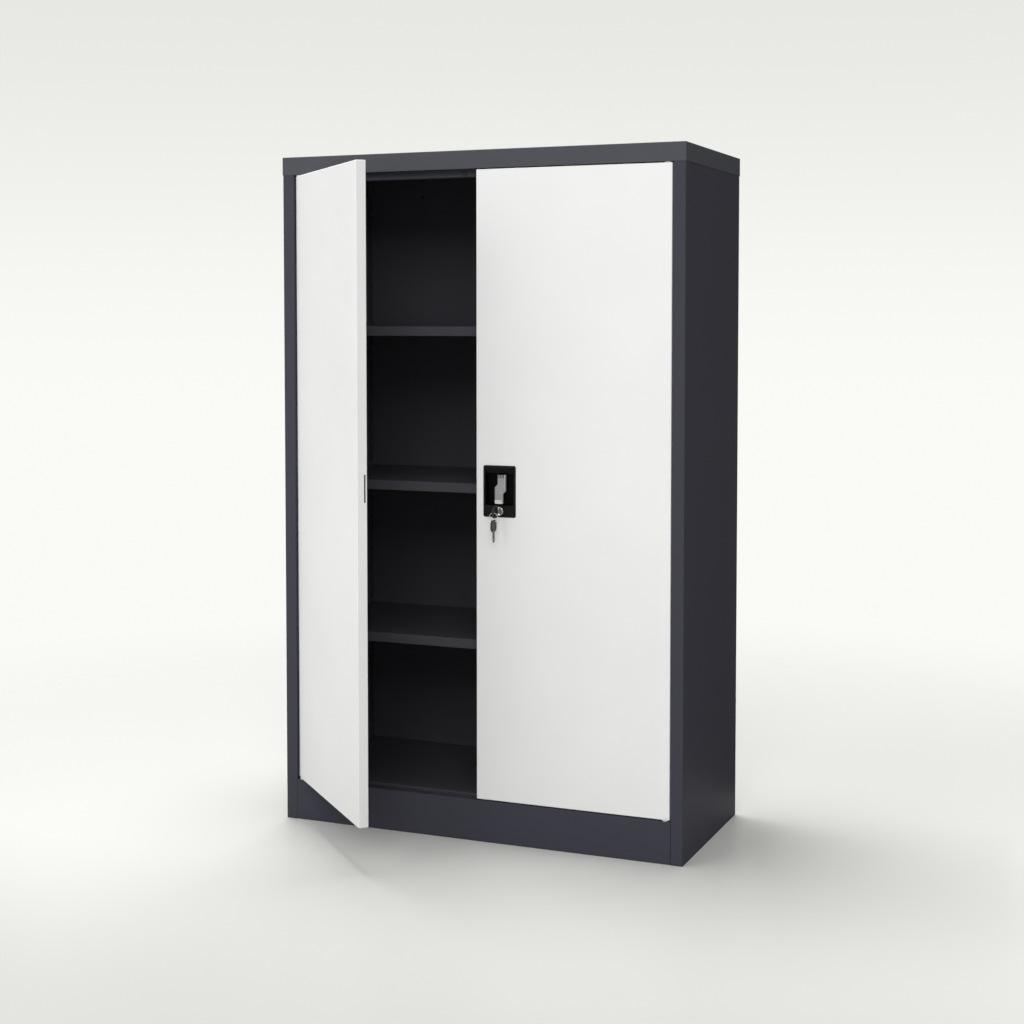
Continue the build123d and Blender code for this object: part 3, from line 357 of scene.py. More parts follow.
def powder_coat(name, tone, rub, settings, edges=(), scuffs=0.0):
    """Powder coat with orange peel, soft changes of tone, worn edges, and scuffs up to a height."""
    finish = Finish(name)
    fleck_share, wear_share, scuff_share = 0.12, 0.75, 0.30
    drift = finish.noise(0.32, detail=3.0)
    fleck = finish.noise(0.0009, detail=1.0)
    shade = finish.blend(drift, rgba(tone, 0.94), rgba(tone, 1.06))
    shade = finish.blend(fleck.ramp(0.62, 0.80) * fleck_share, shade, rgba(tone, 1.25))
    rough = settings.gloss + (drift - 0.5) * 0.10 + (fleck - 0.5) * 0.08
    if edges:
        worn = edge_wear(finish, edges, settings.wear_width)
        shade = finish.blend(worn * wear_share, shade, rgba(rub))
        rough = rough - worn * 0.10
    if scuffs:
        low = finish.z.ramp(0.0, scuffs, 1.0, 0.0)
        marks = finish.noise(0.030, detail=6.0, rough=0.70, stretch=(1.0, 1.0, 4.0)).ramp(0.55, 0.72) * low
        shade = finish.blend(marks * scuff_share, shade, rgba(rub))
        rough = rough + marks * 0.14
    peel = finish.noise(settings.peel_size, detail=1.5, rough=0.45)
    normal = finish.bump(peel, settings.peel_height)
    varying = {"Base Color": shade, "Roughness": rough, "Normal": normal}
    return finish.close(varying, {"IOR": 1.45, "Specular IOR Level": settings.shine})


def plated_metal(name, tone, rough, grain, stretch=None, tarnish=0.25, metal=1.0):
    """Plated metal with a fine grain and patches of dulled plating."""
    finish = Finish(name)
    dulled, grain_depth = 0.62, grain * 0.05
    patches = finish.noise(0.006, detail=4.0, rough=0.6)
    lines = finish.noise(grain, stretch=stretch)
    shade = finish.blend(patches.ramp(0.45, 0.75) * tarnish, rgba(tone), rgba(tone, dulled))
    varying = {
        "Base Color": shade,
        "Roughness": rough + (patches - 0.5) * 0.12 + (lines - 0.5) * 0.14,
        "Normal": finish.bump(lines, grain_depth),
    }
    return finish.close(varying, {"Metallic": metal})


def moulded_plastic(name, tone, rough, grain, depth, shine=0.5, painted_tone=None):
    """Moulded plastic with a fine grain, drawn paler as painted light in front of a Y and above a Z where a
    zone is given.
    """
    finish = Finish(name)
    drift = finish.noise(0.02, detail=3.0)
    texture = finish.noise(grain, rough=0.6)
    shade = finish.blend(drift, rgba(tone, 0.85), rgba(tone, 1.15))
    if painted_tone is not None:
        face, slope = painted_tone
        face_fade, slope_fade, painted_light_factor = 4 * MM, 1.5 * MM, 24.0
        # Painted light: the face in front of the Y and the slope above the Z are drawn many times paler,
        # where light falls on them
        rubbed = finish.y.ramp(face, face + face_fade, 1.0, 0.0)
        rubbed = rubbed.most(finish.z.ramp(slope, slope + slope_fade))
        shade = finish.blend(rubbed * (drift * 0.5 + 0.5), shade, rgba(tone, painted_light_factor))
    varying = {
        "Base Color": shade,
        "Roughness": rough + (drift - 0.5) * 0.10 + (texture - 0.5) * 0.10,
        "Normal": finish.bump(texture, depth),
    }
    return finish.close(varying, {"IOR": 1.48, "Specular IOR Level": shine})


def lever_metal(lock, low, high):
    """Satin cast zinc, with a painted highlight along its rounded edges, sides and foot, and painted shade
    in the grooves between its ribs.
    """
    finish = Finish("cast_lever")
    grain_depth, patch_share, groove_shade_tone = 0.00003, 0.30, (0.03, 0.03, 0.028, 1.0)
    grain = finish.noise(0.0006, rough=0.6)
    patches = finish.noise(0.007, detail=4.0, rough=0.6)
    # Painted highlight: everything behind the front face, its rounded edges, sides and foot, is drawn in
    # the pale colour
    highlight_start, highlight_full = low.y + 0.1 * MM, low.y + 0.8 * MM
    rounded = finish.y.ramp(highlight_start, highlight_full)
    ribs_end = high.z - lock.rib_length
    top = finish.z.ramp(ribs_end - 0.5 * MM, ribs_end + 1 * MM)
    ribs_middle = (low.x + high.x + lock.jog) / 2
    ribs_half, ribs_clear = lock.leg_width * 0.40, lock.leg_width * 0.46
    between = (finish.x - ribs_middle).size().ramp(ribs_half, ribs_clear, 1.0, 0.0)
    # Painted shade: the grooves between the ribs are drawn near black and rougher, where shade falls
    groove_shade = rounded * top * between
    dull = rgba(lock.lever_colour, 0.78)
    shade = finish.blend(patches.ramp(0.40, 0.75) * patch_share, rgba(lock.lever_colour), dull)
    shade = finish.blend(rounded * (1 - groove_shade), shade, rgba(lock.edge_highlight_colour))
    shade = finish.blend(groove_shade, shade, groove_shade_tone)
    varying = {
        "Base Color": shade,
        "Roughness": 0.36 - rounded * 0.10 + groove_shade * 0.3 + (grain - 0.5) * 0.16,
        "Normal": finish.bump(grain, grain_depth),
    }
    return finish.close(varying, {"Metallic": 0.5})


# Meshes


def placed(name, data):
    """A new object in the scene."""
    made = bpy.data.objects.new(name, data)
    bpy.context.scene.collection.objects.link(made)
    return made


def plain_mesh(build):
    """A mesh from a bmesh, which is freed."""
    mesh = bpy.data.meshes.new("piece")
    build.to_mesh(mesh)
    build.free()
    return mesh


def clean_mesh(build):
    """A mesh from a bmesh, its doubles merged and its faces turned outwards."""
    bmesh.ops.remove_doubles(build, verts=build.verts, dist=MERGE)
    bmesh.ops.recalc_face_normals(build, faces=build.faces)
    return plain_mesh(build)


def joined(meshes):
    """One mesh of several, which are removed."""
    build = bmesh.new()
    for mesh in meshes:
        build.from_mesh(mesh)
        bpy.data.meshes.remove(mesh)
    return clean_mesh(build)


def without_slivers(mesh):
    """A mesh without the faces of no area that a cut can leave."""
    build = bmesh.new()
    build.from_mesh(mesh)
    bmesh.ops.dissolve_degenerate(build, dist=SLIVER, edges=build.edges)
    build.to_mesh(mesh)
    build.free()
    return mesh


def evaluated(made):
    """The mesh of an object with its modifiers applied."""
    bpy.context.view_layer.update()
    graph = bpy.context.evaluated_depsgraph_get()
    return bpy.data.meshes.new_from_object(made.evaluated_get(graph))


def discard(*objects):
    """Removes helper objects and their meshes."""
    for thing in objects:
        mesh = thing.data
        bpy.data.objects.remove(thing)
        bpy.data.meshes.remove(mesh)


def modified(mesh, kind, **settings):
    """A mesh changed by one modifier."""
    base = placed("base", mesh)
    modifier = base.modifiers.new("change", kind)
    for name, setting in settings.items():
        setattr(modifier, name, setting)
    result = evaluated(base)
    discard(base)
    return result


def piece(name, mesh, material):
    """A new object for a mesh, smooth up to its sharp edges, with its flat faces shaded flat."""
    mesh.shade_smooth()
    mesh.set_sharp_from_angle(angle=SMOOTH_ANGLE)
    shaded = modified(mesh, "WEIGHTED_NORMAL", keep_sharp=True, weight=100)
    shaded.name = name
    shaded.materials.clear()
    shaded.materials.append(material)
    return placed(name, shaded)


def settle(made, body, slot, *nodes):
    """Rides a finished piece on its body and hides the CAD nodes that it stands for."""
    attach(made, body)
    if nodes:
        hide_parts(*nodes)


def carve(mesh, cutters, operation="DIFFERENCE"):
    """A mesh with others cut out of it or joined to it."""
    base = placed("base", mesh)
    tools = [placed("cutter", cutter) for cutter in cutters]
    for tool in tools:
        cut = base.modifiers.new("cut", "BOOLEAN")
        cut.object = tool
        cut.operation = operation
        cut.solver = "EXACT"
    result = evaluated(base)
    discard(base, *tools)
    return result


def softened(mesh, radius):
    """A copy of a mesh with its flat faces joined up and its edges rounded."""
    build = bmesh.new()
    build.from_mesh(mesh)
    bmesh.ops.remove_doubles(build, verts=build.verts, dist=MERGE)
    bmesh.ops.dissolve_limit(build, angle_limit=FLAT_ANGLE, verts=build.verts, edges=build.edges)
    limits = {"limit_method": "ANGLE", "angle_limit": BEVEL_ANGLE}
    return modified(plain_mesh(build), "BEVEL", width=radius, segments=2, **limits)


def lathe(profile, centre, steps=64):
    """A body turned about an axis along Y. The profile gives radius and Y from one end to the other,
    or round a ring and back to its start."""
    build = bmesh.new()
    turns = [2 * pi * i / steps for i in range(steps)]
    rings = []
    for radius, y in profile:
        spokes = [(radius * cos(turn), radius * sin(turn)) for turn in turns] if radius else [(0.0, 0.0)]
        rings.append([build.verts.new((centre[0] + x, y, centre[1] + z)) for x, z in spokes])
    for first, second in zip(rings, rings[1:]):
        for i in range(steps):
            j = (i + 1) % steps
            corners = [first[i % len(first)], first[j % len(first)]]
            corners += [second[j % len(second)], second[i % len(second)]]
            build.faces.new(list(dict.fromkeys(corners)))
    return clean_mesh(build)


def arc_corner(before, corner, after, radius):
    """The points of a rounded corner."""
    back = (before - corner).normalized()
    ahead = (after - corner).normalized()
    half = back.angle(ahead) / 2
    nearly_straight = pi / 2 - 0.01
    if radius <= 0 or half > nearly_straight:
        return [corner.copy() for _ in range(CORNER_STEPS + 1)]
    reach = radius / tan(half)
    start, end = corner + back * reach, corner + ahead * reach
    middle = corner + (back + ahead).normalized() * (radius / sin(half))
    points = []
    for i in range(CORNER_STEPS + 1):
        spoke = (start - middle).slerp(end - middle, i / CORNER_STEPS)
        points.append(middle + spoke * radius)
    return points


def outline(corners, radii, shrink):
    """A closed outline drawn inside given corners, which run anticlockwise, with each corner rounded."""
    places = [Vector(corner) for corner in corners]
    count = len(places)
    moved, turns = [], []
    for i, corner in enumerate(places):
        into = (corner - places[i - 1]).normalized()
        out = (places[(i + 1) % count] - corner).normalized()
        left_in, left_out = Vector((-into.y, into.x)), Vector((-out.y, out.x))
        middle = (left_in + left_out).normalized()
        moved.append(corner + middle * (shrink / middle.dot(left_in)))
        turns.append(into.x * out.y - into.y * out.x)
    points = []
    for i in range(count):
        radius = radii[i] - shrink if turns[i] > 0 else radii[i] + shrink
        points += arc_corner(moved[i - 1], moved[i], moved[(i + 1) % count], radius)
    return points


def rounding(radius):
    """Shrink and depth down a rounded edge, from its face to its side."""
    turns = [pi / 2 * i / ROUND_STEPS for i in range(ROUND_STEPS + 1)]
    return [(radius * (1 - sin(turn)), radius * (1 - cos(turn))) for turn in turns]


def skinned(rings):
    """A closed mesh through rings of points that all have as many points."""
    build = bmesh.new()
    lines = [[build.verts.new(point) for point in ring] for ring in rings]
    for first, second in zip(lines, lines[1:]):
        for i in range(len(first)):
            j = (i + 1) % len(first)
            build.faces.new((first[i], first[j], second[j], second[i]))
    build.faces.new(lines[0])
    build.faces.new(list(reversed(lines[-1])))
    return clean_mesh(build)


def slab(corners, radii, rise, place):
    """A mesh from an outline: rise lists each ring's shrink and its distance along the third axis."""
    rings = [[place(p.x, p.y, depth) for p in outline(corners, radii, shrink)] for shrink, depth in rise]
    return skinned(rings)


def box_mesh(low, high):
    """A plain box, used only to cut with."""
    build = bmesh.new()
    size = Vector(high) - Vector(low)
    middle = (Vector(high) + Vector(low)) / 2
    bmesh.ops.create_cube(build, size=1, matrix=Matrix.Translation(middle) @ Matrix.Diagonal((*size, 1)))
    return clean_mesh(build)


# Geometry Nodes


class Pattern(Recipe):
    """A Geometry Nodes tree with named inputs, run on a set of places."""

    def __init__(self, name, inputs):
        """Starts the tree. The inputs are lists of names, by the kind of their sockets."""
        super().__init__(bpy.data.node_groups.new(name, "GeometryNodeTree"))
        sockets = self.tree.interface
        for way in ("INPUT", "OUTPUT"):
            sockets.new_socket(name="Geometry", in_out=way, socket_type="NodeSocketGeometry")
        self.names = {}
        for kind, labels in inputs.items():
            for label in labels:
                made = sockets.new_socket(name=label, in_out="INPUT", socket_type="NodeSocket" + kind)
                self.names[label] = made.identifier
        self.given = self.node("NodeGroupInput")

    def vector(self, x=0.0, y=0.0, z=0.0):
        """A vector from three values."""
        return self.node("ShaderNodeCombineXYZ", {}, {0: x, 1: y, 2: z})[0]

    def block(self, x, y, z):
        """A box of a given size."""
        return self.node("GeometryNodeMeshCube", {}, {"Size": self.vector(x, y, z)})[0]

    def shaped(self, shape, places):
        """A shape whose points are put at other places."""
        return self.node("GeometryNodeSetPosition", {}, {"Geometry": shape, "Position": places})[0]

    def moved(self, shape, x=0.0, y=0.0, z=0.0):
        """A shape moved as a whole."""
        values = {"Geometry": shape, "Translation": self.vector(x, y, z)}
        return self.node("GeometryNodeTransform", {}, values)[0]

    def cut(self, operation, inputs):
        """A union of meshes, or one mesh with others cut out of it."""
        settings = {"operation": operation, "solver": "EXACT"}
        return self.node("GeometryNodeMeshBoolean", settings, inputs)[0]

    def turned(self, angles):
        """A rotation from three angles."""
        return self.node("FunctionNodeEulerToRotation", {}, {0: angles})[0]

    def end(self, shapes, turn):
        """Puts turned copies of the shapes at the places, as one mesh of the given material."""
        whole = self.node("GeometryNodeJoinGeometry", {}, {0: shapes})[0]
        values = {"Points": self.given["Geometry"], "Instance": whole, "Rotation": turn}
        copies = self.node("GeometryNodeInstanceOnPoints", {}, values)[0]
        real = self.node("GeometryNodeRealizeInstances", {}, {0: copies})[0]
        values = {"Geometry": real, "Material": self.given["Material"]}
        dressed = self.node("GeometryNodeSetMaterial", {}, values)[0]
        self.node("NodeGroupOutput", {}, {0: dressed})

    def mesh(self, places, values):
        """Runs the tree on a set of places and gives a plain mesh."""
        build = bmesh.new()
        for place in places:
            build.verts.new(place)
        base = placed("places", plain_mesh(build))
        pattern = base.modifiers.new("pattern", "NODES")
        pattern.node_group = self.tree
        for label, value in values.items():
            pattern[self.names[label]] = value
        result = evaluated(base)
        discard(base)
        return without_slivers(result)


def screw_pattern():
    """Pan-head screws along +Y at each place, with a cross recess turned at random."""
    sizes = ("Head radius", "Head height", "Shank radius", "Shank length",
             "Recess width", "Recess slot", "Recess depth")
    pattern = Pattern("Pan-head screws", {"Float": sizes, "Int": ["Seed"], "Material": ["Material"]})
    given = pattern.given
    # Powers that widen a ball towards its top and round that top, and the least reach they work on
    flare, dome, least_reach = -0.55, 0.8, 0.001
    ball = pattern.node("GeometryNodeMeshUVSphere", {}, {"Segments": 40, "Rings": 24, "Radius": 1.0})[0]
    place = pattern.node("GeometryNodeInputPosition")[0]
    axes = pattern.node("ShaderNodeSeparateXYZ", {}, {0: place})
    reach = (axes[0] * axes[0] + axes[1] * axes[1]) ** 0.5
    spread = (reach.most(least_reach) ** flare) * given["Head radius"]
    rise = (axes[2].most(0.0) ** dome) * given["Head height"]
    head = pattern.shaped(ball, pattern.vector(axes[0] * spread, axes[1] * spread, rise))
    width, slot, deep = given["Recess width"], given["Recess slot"], given["Recess depth"] * 2
    bars = [pattern.block(width, slot, deep), pattern.block(slot, width, deep)]
    cross = pattern.cut("UNION", {"Mesh 2": [pattern.moved(bar, z=given["Head height"]) for bar in bars]})
    head = pattern.cut("DIFFERENCE", {0: head, "Mesh 2": cross})
    values = {"Vertices": 24, "Radius": given["Shank radius"], "Depth": given["Shank length"]}
    shank = pattern.node("GeometryNodeMeshCylinder", {}, values)[0]
    shank = pattern.moved(shank, z=given["Shank length"] * -0.5)
    span = {2: 0.0, 3: 2 * pi, "Seed": given["Seed"]}
    spin = pattern.node("FunctionNodeRandomValue", {"data_type": "FLOAT"}, span)[1]
    turns = {0: pattern.turned((-pi / 2, 0.0, 0.0)), 1: pattern.turned(pattern.vector(z=spin))}
    aim = pattern.node("FunctionNodeRotateRotation", {"rotation_space": "LOCAL"}, turns)[0]
    pattern.end([head, shank], aim)
    return pattern


def clip_pattern():
    """Bent clips, each on a point: a ledge towards -X, an upright plate and a hook towards +X."""
    sizes = ("Sheet", "Width", "Ledge", "Height", "Bend",
             "Hook reach", "Hook width", "Hook height", "Hook rise")
    pattern = Pattern("Shelf clips", {"Float": sizes, "Vector": ["Turn"], "Material": ["Material"]})
    given = pattern.given
    line = pattern.node("GeometryNodeMeshLine", {}, {"Count": 3})[0]
    index = pattern.node("GeometryNodeInputIndex")[0]
    half = given["Sheet"] * 0.5
    along = (given["Ledge"] + given["Sheet"]) * index.under(0.5) * -1.0 - half * index.over(0.5)
    up = (given["Height"] - half) * index.over(1.5)
    bent = pattern.shaped(line, pattern.vector(along, 0.0, up + half * index.under(1.5)))
    curve = pattern.node("GeometryNodeMeshToCurve", {}, {0: bent})[0]
    values = {"Curve": curve, "Count": 6, "Radius": given["Bend"]}
    rounded = pattern.node("GeometryNodeFilletCurve", {"mode": "POLY"}, values)[0]
    values = {"Width": given["Width"], "Height": given["Sheet"]}
    section = pattern.node("GeometryNodeCurvePrimitiveQuadrilateral", {}, values)[0]
    values = {"Curve": rounded, "Profile Curve": section, "Fill Caps": True}
    strip = pattern.node("GeometryNodeCurveToMesh", {}, values)[0]
    hook = pattern.block(given["Hook reach"], given["Hook width"], given["Hook height"])
    hook = pattern.moved(hook, x=given["Hook reach"] * 0.5, z=given["Hook rise"])
    pattern.end([strip, hook], pattern.turned(given["Turn"]))
    return pattern


# Operators


def dress(material, *names):
    """Gives CAD nodes a material."""
    for name in names:
        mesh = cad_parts[name].data
        mesh.materials.clear()
        mesh.materials.append(material)


def middle_of(node):
    """The middle of a CAD node's box."""
    low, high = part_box(node)
    return (low + high) / 2


def loose_middles(node):
    """The middle X and Z of each separate solid of a CAD node."""
    build = bmesh.new()
    build.from_mesh(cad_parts[node].data)
    bmesh.ops.remove_doubles(build, verts=build.verts, dist=MERGE)
    left = set(build.verts)
    middles = []
    while left:
        island, rim = set(), [min(left, key=lambda v: v.index)]
        while rim:
            vert = rim.pop()
            if vert in island:
                continue
            island.add(vert)
            rim += [edge.other_vert(vert) for edge in vert.link_edges]
        left -= island
        xs, zs = [v.co.x for v in island], [v.co.z for v in island]
        middles.append(((min(xs) + max(xs)) / 2, (min(zs) + max(zs)) / 2))
    build.free()
    return sorted(middles)


class CABINET_OT_paint(Operator):
    """Powder coat on the cabinet's sheet steel and its doors"""

    bl_idname = "cabinet.paint"
    bl_label = "Paint"

    def execute(self, context):
        paint = context.scene.cabinet_paint
        low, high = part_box("top_cap")
        edges = [("y", "z", (low.y, z)) for z in (low.z, high.z)]
        for x in (low.x, high.x):
            edges += [("x", "z", (x, high.z)), ("x", "y", (x, low.y))]
        dress(powder_coat("cap_paint", paint.cap_colour, paint.body_rub, paint, edges), "top_cap")
        low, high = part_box("right_side_panel")
        edges = [("x", "y", (x, y)) for x in (-high.x, high.x) for y in (low.y, high.y)]
        edges.append(("y", "z", (low.y, 0.0)))
        body = powder_coat("body_paint", paint.body_colour, paint.body_rub, paint, edges,
                           scuffs=paint.scuff_height)
        dress(body, "right_side_panel", "left_side_panel", "plinth", "header_rail")
        inside = ["bottom_panel", "bottom_stiffener", "cap_stiffener", "rear_base_rail", "back_panel"]
        inside += [f"{side}_{end}_upright" for side in ("right", "left") for end in ("front", "rear")]
        inside += [f"shelf_{part}{level}" for part in ("", "stiffener_") for level in LEVELS]
        dress(powder_coat("interior_paint", paint.interior_colour, paint.body_rub, paint), *inside)
        low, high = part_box("right_door_panel")
        edges = [("x", "y", (x, low.y)) for x in (low.x, high.x)]
        edges += [("y", "z", (low.y, z)) for z in (low.z, high.z)]
        for side, worn in (("right", edges), ("left", ())):
            coat = powder_coat(f"{side}_door_paint", paint.door_colour, paint.door_rub, paint, worn)
            dress(coat, *[f"{side}_door_{part}" for part in ("panel", "stiffener", "pivot_plates")])
        return {"FINISHED"}


class CABINET_OT_hardware(Operator):
    """Finishes of the plated and nylon pieces that keep their CAD shape"""

    bl_idname = "cabinet.hardware"
    bl_label = "Hardware"

    def execute(self, context):
        parts = context.scene.cabinet_hardware
        zinc = plated_metal("zinc_plate", parts.zinc_colour, rough=0.36, grain=0.0008)
        dress(zinc, "right_hinge_pins", "left_hinge_pins", "left_door_keeper", "lock_back_plate",
              "cylinder_clip", "spindle", "spindle_clip", "cam_plate", "drive_pinion", "locking_tongue")
        along_z = (1.0, 1.0, 0.04)
        drawn = plated_metal("drawn_zinc", parts.zinc_colour, rough=0.34, grain=0.0006, stretch=along_z)
        dress(drawn, "upper_rod", "lower_rod")
        nylon = moulded_plastic("nylon", parts.nylon_colour, rough=0.48, grain=0.0005, depth=0.00001)
        dress(nylon, "right_door_bushes", "left_door_bushes", "upper_rod_guide", "lower_rod_guide")
        dress(plated_metal("nickel_plug", parts.nickel_colour, rough=0.22, grain=0.0005), "lock_plug")
        return {"FINISHED"}


# CAD node, body, head radius, head height, shank radius and shank length in mm, and the recess's setting
SCREW_KINDS = (
    ("back_screws", "cabinet", 3.5, 1.8, 1.7, 6, "frame_recess"),
    ("cap_screws", "cabinet", 3.5, 1.8, 1.7, 6, "frame_recess"),
    ("back_plate_screws", "right_door", 2.75, 1.6, 1.25, 7, "lock_recess"),
    ("tongue_screw", "lock_plug", 2.6, 1.4, 1.25, 4, "lock_recess"),
)


class CABINET_OT_screws(Operator):
    """Pan-head screws of the back, the cap and the lock"""

    bl_idname = "cabinet.screws"
    bl_label = "Screws"

    def execute(self, context):
        sizes = context.scene.cabinet_screws
        zinc = context.scene.cabinet_hardware.zinc_colour
        metal = plated_metal("screw_zinc", zinc, rough=0.30, grain=0.0004)
        pattern = screw_pattern()
        for node, body, radius, height, shank, reach, setting in SCREW_KINDS:
            recess = getattr(sizes, setting)
            values = {
                "Head radius": radius * MM, "Head height": height * MM,
                "Shank radius": shank * MM, "Shank length": reach * MM,
                "Recess width": recess, "Recess slot": recess * sizes.recess_slot,
                "Recess depth": height * MM * sizes.recess_depth,
                "Seed": sizes.seed, "Material": metal,
            }
            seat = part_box(node)[1].y - height * MM
            screws = pattern.mesh([(x, seat, z) for x, z in loose_middles(node)], values)
            settle(piece("pan_" + node, screws, metal), body, "zinc_steel", node)
        return {"FINISHED"}


class CABINET_OT_clips(Operator):
    """Bent shelf clips in the uprights' slots"""

    bl_idname = "cabinet.clips"
    bl_label = "Shelf clips"

    def execute(self, context):
        sizes = context.scene.cabinet_clips
        zinc = context.scene.cabinet_hardware.zinc_colour
        metal = plated_metal("clip_zinc", zinc, rough=0.34, grain=0.0007)
        pattern = clip_pattern()
        web_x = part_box("right_front_upright")[0].x
        rows = [middle_of(f"right_{end}_upright").y for end in ("front", "rear")]
        for level in LEVELS:
            node = "shelf_clips_" + level
            low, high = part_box(node)
            values = {
                "Sheet": sizes.sheet, "Width": sizes.width, "Ledge": sizes.ledge,
                "Height": high.z - low.z, "Bend": sizes.bend,
                "Hook reach": high.x - web_x, "Hook width": sizes.hook_width,
                "Hook height": sizes.hook, "Hook rise": sizes.hook_rise, "Material": metal,
            }
            halves = []
            for side, turn in ((1, 0.0), (-1, pi)):
                places = [(side * web_x, y, low.z) for y in rows]
                halves.append(pattern.mesh(places, {**values, "Turn": (0, 0, turn)}))
            settle(piece("bent_" + node, joined(halves), metal), "cabinet", "zinc_steel", node)
        return {"FINISHED"}


# A plug's radius and its distance from the back's outer face, in mm, from its domed brim to its hollow foot
PLUG_PROFILE = (
    (0, 1.33), (3.3, 1.4), (5.1, 0.98), (6, 0.21), (6, 0), (3.9, 0),
    (3.9, -2.4), (4.2, -3), (3.3, -4.2), (2.5, -4.2), (2.5, -1), (0, -1),
)


class CABINET_OT_hole_plugs(Operator):
    """Blanking plugs in the back's two wall-anchor holes"""

    bl_idname = "cabinet.hole_plugs"
    bl_label = "Hole plugs"

    def execute(self, context):
        tone = context.scene.cabinet_hardware.rubber_colour
        black = moulded_plastic("plug_nylon", tone, rough=0.45, grain=0.0006, depth=0.00001)
        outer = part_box("back_panel")[1].y
        half_spacing, drop = 300 * MM, 61.8 * MM
        hole_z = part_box("top_cap")[1].z - drop
        profile = [(radius * MM, outer + y * MM) for radius, y in PLUG_PROFILE]
        plugs = joined([lathe(profile, (x, hole_z), steps=40) for x in (-half_spacing, half_spacing)])
        settle(piece("anchor_hole_plugs", plugs, black), "cabinet", "bumper_rubber")
        return {"FINISHED"}


class CABINET_OT_bumpers(Operator):
    """Domed rubber bumpers on the stop behind the doors' tops"""

    bl_idname = "cabinet.bumpers"
    bl_label = "Bumpers"

    def execute(self, context):
        tone = context.scene.cabinet_hardware.rubber_colour
        rubber = moulded_plastic("bumper_rubber", tone, rough=0.62, grain=0.0006, depth=0.00002)
        low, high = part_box("door_bumpers")
        radius, dome = (high.z - low.z) / 2, context.scene.cabinet_clips.bumper_dome
        crown_width, crown_height, chamfer, steps = radius * 0.94, dome * 0.8, 0.3 * MM, 8
        profile = [(0, low.y)]
        for i in range(1, steps + 1):
            rise = crown_height * (1 - cos(asin(i / steps)))
            profile.append((crown_width * i / steps, low.y + rise))
        profile += [(radius, low.y + dome), (radius, high.y - chamfer), (radius - chamfer, high.y)]
        profile.append((0, high.y))
        bumpers = joined([lathe(profile, place, steps=40) for place in loose_middles("door_bumpers")])
        settle(piece("domed_bumpers", bumpers, rubber), "cabinet", "bumper_rubber", "door_bumpers")
        return {"FINISHED"}


class CABINET_OT_housing(Operator):
    """Black moulded housing of the lock"""

    bl_idname = "cabinet.housing"
    bl_label = "Lock housing"

    def execute(self, context):
        lock = context.scene.cabinet_lock
        low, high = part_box("lock_housing")
        slope_depth = 17.5 * MM
        # The housing's front face and top slope get painted light; the cup inside keeps the near-black tone
        black = moulded_plastic("black_moulding", lock.moulding_colour, rough=0.42, grain=0.0007,
                                depth=0.000012, shine=0.05, painted_tone=(low.y, high.z - slope_depth))
        mesh = softened(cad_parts["lock_housing"].data, lock.edge)
        settle(piece("moulded_housing", mesh, black), "right_door", "black_moulding", "lock_housing")
        return {"FINISHED"}


class CABINET_OT_lever(Operator):
    """Cast lever with a ribbed top and a slanted foot"""

    bl_idname = "cabinet.lever"
    bl_label = "Lever"

    def execute(self, context):
        lock = context.scene.cabinet_lock
        low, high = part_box("lever")
        middle = (low + high) / 2
        thickness = 7 * MM
        front, back = low.y, low.y + thickness
        foot_radius, shoulder_radius, chamfer = 3.5 * MM, 1.6 * MM, 0.5 * MM
        end = (high.z - low.z) / 2
        far = (lock.leg_width + lock.jog) / 2
        near = far - lock.jog
        half = [(far, -lock.shoulder_near), (far, end), (-near, end), (-near, lock.shoulder_far)]
        corners = half + [(-x, -z) for x, z in half]
        radii = [foot_radius, shoulder_radius, shoulder_radius, foot_radius] * 2
        rise = [(shrink, front + depth) for shrink, depth in rounding(lock.lever_round)]
        rise += [(0.0, back - chamfer), (chamfer, back)]
        arm = slab(corners, radii, rise, lambda x, z, y: (middle.x + x, y, middle.z + z))

        past = 20 * MM
        foot_low, foot_y = middle.z - end, front + lock.foot_depth
        foot_high = foot_low + lock.foot_length
        wedge = [(front, foot_high), (front - past, foot_high), (front - past, foot_low - past),
                 (foot_y, foot_low - past), (foot_y, foot_low)]
        cutters = [skinned([[(middle.x + side * past, y, z) for y, z in wedge] for side in (-1, 1)])]
        pitch = lock.leg_width / (lock.grooves + 1)
        first = middle.x + lock.jog / 2 - (lock.grooves - 1) / 2 * pitch
        for i in range(lock.grooves):
            spot = (first + i * pitch, front, middle.z + end - lock.rib_length)
            cutters.append(rib_cutter(spot, lock.groove_width, lock.groove_depth, past))

        hub_radius, hub_chamfer, overlap, hub_end = 8 * MM, 0.4 * MM, 1 * MM, high.y
        sunk = back - overlap
        hub = lathe([(0, sunk), (hub_radius, sunk), (hub_radius, hub_end - hub_chamfer),
                     (hub_radius - hub_chamfer, hub_end), (0, hub_end)], (middle.x, middle.z))
        lever = carve(carve(arm, cutters), [hub], "UNION")
        settle(piece("cast_lever", lever, lever_metal(lock, low, high)), "lever_set", "cast_lever", "lever")
        return {"FINISHED"}


def rib_cutter(spot, width, depth, reach):
    """A round-ended groove along Z that opens at its top end."""
    x, y, z = spot
    half, steps, sides, shallowest = width / 2, 6, 8, 0.02 * MM
    rings = []
    for i in range(steps + 1):
        turn = pi / 2 * i / steps
        rings.append((z + depth * 2 * (1 - cos(turn)), max(depth * sin(turn), shallowest)))
    rings.append((z + reach, depth))
    shapes = []
    for height, deep in rings:
        section = [(-half, -reach), (half, -reach), (half, 0.0)]
        section += [(half * cos(pi * i / sides), deep * sin(pi * i / sides)) for i in range(1, sides)]
        section.append((-half, 0.0))
        shapes.append([(x + across, y + down, height) for across, down in section])
    return skinned(shapes)


